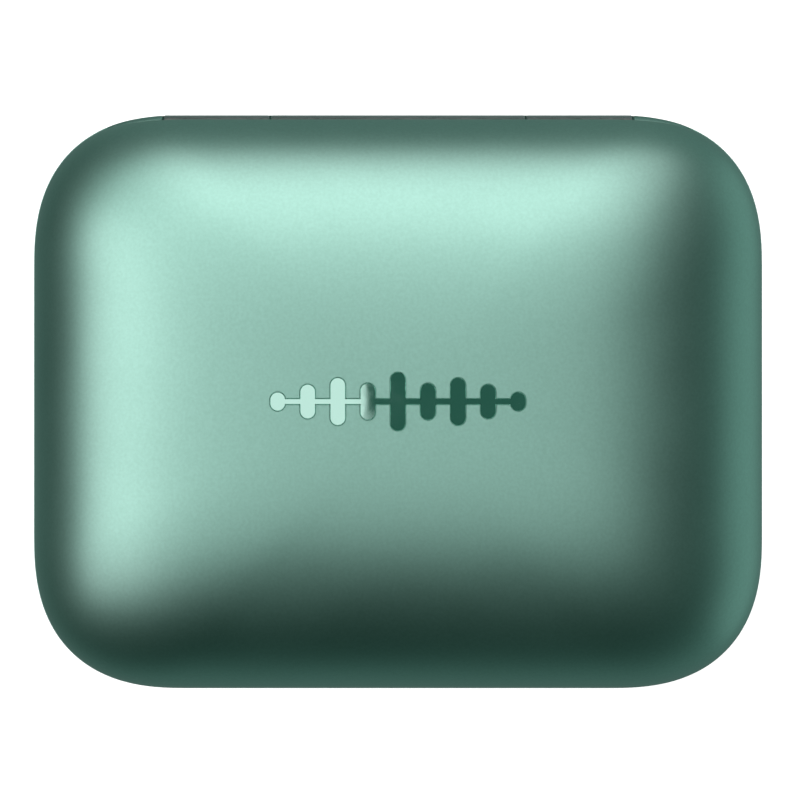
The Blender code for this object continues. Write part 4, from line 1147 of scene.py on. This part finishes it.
def spring_skin(node):
    """Coil of round wire under a contact pin."""
    low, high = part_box(node)
    axis = box_and_middle(node.replace("spring", "plunger"))[2]
    coil_radius = high.x - axis.x - SPRING_WIRE
    length = high.z - low.z
    rise = (length - 2 * SPRING_WIRE) / (math.tau * SPRING_TURNS)
    shape = bmesh.new()
    centres = []
    rings = []
    for step in range(SPRING_TURNS * SPRING_STEPS + 1):
        angle = math.tau * step / SPRING_STEPS
        x = coil_radius * math.cos(angle)
        y = coil_radius * math.sin(angle)
        centres.append(Vector((axis.x + x, axis.y + y, low.z + SPRING_WIRE + rise * angle)))
        rings.append(wire_ring(shape, centres[-1], Vector((-y, x, rise)).normalized()))
    rings = [[shape.verts.new(centres[0])]] + rings + [[shape.verts.new(centres[-1])]]
    for one, two in zip(rings, rings[1:]):
        join_rings(shape, one, two)
    coil = stands_for(new_object(node + "_skin", mesh_of(node + "_skin", shape)), node)
    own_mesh(coil)
    return coil


# ---- mark

def gauge(x, y):
    """Scale of the plan outline that passes through a point."""
    low = 0.0
    high = 1.0
    for _ in range(GAUGE_HALVINGS):
        scale = (low + high) / 2
        corner = CORNER_EXTENT * scale
        past_x = max(abs(x) - (HALF_X * scale - corner), 0) / corner
        past_y = max(abs(y) - (HALF_Y * scale - corner), 0) / corner
        if past_x ** CORNER_POWER + past_y ** CORNER_POWER > 1:
            low = scale
        else:
            high = scale
    return high


def crown_drop(x, y):
    """How far the lid's outside has fallen below its top at a point."""
    return LID_RISE * (1 - math.sqrt(1 - gauge(x, y) ** EDGE_POWER))


def mark_solid(name, grow, low_z, high_z, edge=0.0):
    """The sound-level bars and their centre line as one solid that follows the crown."""
    length = (len(BAR_HEIGHTS) - 1) * BAR_PITCH
    depth = high_z - low_z
    sections = [(0, grow), (depth - edge, grow)]
    if edge:
        sections.append((depth, grow - edge))
    turn = (0, 0, math.pi / 2)
    mark = baked(slot_loft(name, length, SPINE_WIDTH, sections, (0, 0, low_z), turn))
    for index, height in enumerate(BAR_HEIGHTS):
        x = index * BAR_PITCH - length / 2
        bar = slot_loft("bar", height * MM, BAR_WIDTH, sections, (x, 0, low_z), UPRIGHT)
        boolean(mark, bar, "UNION")
    return mark


def mark_skin():
    """The polished plate, a hair proud of the lid and following its crown."""
    low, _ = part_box("lid_badge")
    mark = mark_solid("lid_mark", 0.0, low.z, HEIGHT + MARK_PROUD, MARK_EDGE)
    for vert in mark.data.vertices:
        vert.co.z -= crown_drop(vert.co.x, vert.co.y)
    return stands_for(mark, "lid_badge")


# ---- studio

def soft_light(name, place, facing, width, depth, brightness, colour):
    """A rectangular softbox at a place that shines against a direction; brightness is its radiance."""
    data = bpy.data.lights.new(name, "AREA")
    data.shape = "RECTANGLE"
    data.size = width
    data.size_y = depth
    data.energy = brightness * LIGHT_UNIT * width * depth
    data.color = colour
    light = new_object(name, data, place)
    light.rotation_mode = "QUATERNION"
    light.rotation_quaternion = facing.to_track_quat("Z", "Y")
    light.visible_camera = False


def mirror_direction(tilt_x, tilt_y):
    """The direction that leans by these degrees from straight up."""
    tilt = math.radians(math.hypot(tilt_x, tilt_y))
    around = math.atan2(tilt_y, tilt_x)
    return Vector((math.sin(tilt) * math.cos(around), math.sin(tilt) * math.sin(around), math.cos(tilt)))


def strip_light(name, tilt_x, tilt_y, width, depth, brightness, colour):
    """A softbox seen from the case at these tilts from straight up, facing the case."""
    direction = mirror_direction(tilt_x, tilt_y)
    soft_light(name, direction * STRIP_DISTANCE, direction, width, depth, brightness, colour)


def tilted_edges(tilts, height):
    """Where lines from the case at these tilts, in degrees, meet a level plane."""
    return [height * math.tan(math.radians(tilt)) for tilt in tilts]


def overhead_panel():
    """The large level softbox over the case, reaching further to the left and to the back."""
    left, right, front, back = tilted_edges(OVERHEAD_TILTS, OVERHEAD_HEIGHT)
    centre = Vector(((left + right) / 2, (front + back) / 2, OVERHEAD_HEIGHT))
    soft_light("overhead", centre, Vector((0, 0, 1)), right - left, back - front, OVERHEAD_BRIGHT,
               OVERHEAD_COLOUR)


def studio_sheet(name, edges, height, roughness, tone):
    """A level rectangle for the studio that casts no shadow, and its shader."""
    left, right, front, back = edges
    mesh = bpy.data.meshes.new(name)
    corners = [(left, front, 0), (right, front, 0), (right, back, 0), (left, back, 0)]
    mesh.from_pydata(corners, [], [(0, 1, 2, 3)])
    sheet = new_object(name, mesh, (0, 0, height))
    sheet.visible_shadow = False
    shader = Shader(name, roughness=roughness)
    shader.look(Base_Color=(tone, tone, tone, 1))
    mesh.materials.append(shader.material)
    return sheet, shader


def flag_card():
    """A small dark green card under the overhead panel, which the polished mark mirrors in its right half."""
    height = OVERHEAD_HEIGHT - FLAG_DROP
    card, shader = studio_sheet("flag_card", tilted_edges(FLAG_TILTS, height), height, 1.0, 0.0)
    shader.look(Specular_IOR_Level=0)
    shader.glow(FLAG_COLOUR)
    card.visible_camera = False


def studio_floor():
    """Plain self-lit floor just under the case, so that it reads as white; reflections don't see it."""
    edges = (-FLOOR_REACH, FLOOR_REACH, -FLOOR_REACH, FLOOR_REACH)
    floor, shader = studio_sheet("studio_floor", edges, -FLOOR_DROP, 0.9, 0.9)
    shader.glow((1, 1, 1), FLOOR_GLOW)
    floor.visible_glossy = False


def studio_world():
    """Dim and greener above, brighter below and to the right."""
    world = bpy.data.worlds.new("studio")
    world.use_nodes = True
    tree = world.node_tree
    height = tree.nodes.new("ShaderNodeVectorMath")
    height.operation = "DOT_PRODUCT"
    height.inputs[1].default_value = WORLD_UP
    tree.links.new(add_node(tree, "ShaderNodeTexCoord", {})["Generated"], height.inputs[0])
    fade = tree.nodes.new("ShaderNodeMapRange")
    fade.interpolation_type = "SMOOTHSTEP"
    fade.inputs["From Min"].default_value = WORLD_FADE[0]
    fade.inputs["From Max"].default_value = WORLD_FADE[1]
    tree.links.new(height.outputs["Value"], fade.inputs["Value"])
    colour = colour_mix(tree, fade.outputs["Result"], WORLD_BELOW, WORLD_ABOVE)
    tree.links.new(colour, tree.nodes["Background"].inputs["Color"])
    bpy.context.scene.world = world


def studio_camera():
    """Straight down, long lens, framed so that the case has the width and offset of the reference view."""
    data = bpy.data.cameras.new("camera")
    data.lens = CAMERA_LENS
    data.sensor_width = SENSOR_WIDTH
    height = EQUATOR_Z + VIEW_WIDTH * CAMERA_LENS / SENSOR_WIDTH
    bpy.context.scene.camera = new_object("camera", data, (CAMERA_SHIFT_X, CAMERA_SHIFT_Y, height))


REPEATED_SKINS = {"hinge_base_screw": screw_skin, "hinge_lid_screw": screw_skin,
                  "contact_plunger": plunger_skin, "contact_barrel": barrel_skin,
                  "contact_spring": spring_skin}

finish_cad_nodes()
lid_skin()
base_skin()
mark_skin()
button_skin()
light_pipe_skin()
tray_skin()
hinge_ends()
liner_skin()
base_leaf_skin()
lid_leaf_skin()
pin_skin()
port_skin()
tongue_skin()
for node in list(frame["nodes"]):
    for start, make_skin in REPEATED_SKINS.items():
        if node.startswith(start):
            make_skin(node)
studio_floor()
studio_world()
studio_camera()
overhead_panel()
flag_card()
for strip in STRIPS:
    strip_light(*strip)
bpy.context.scene.view_settings.view_transform = "Standard"
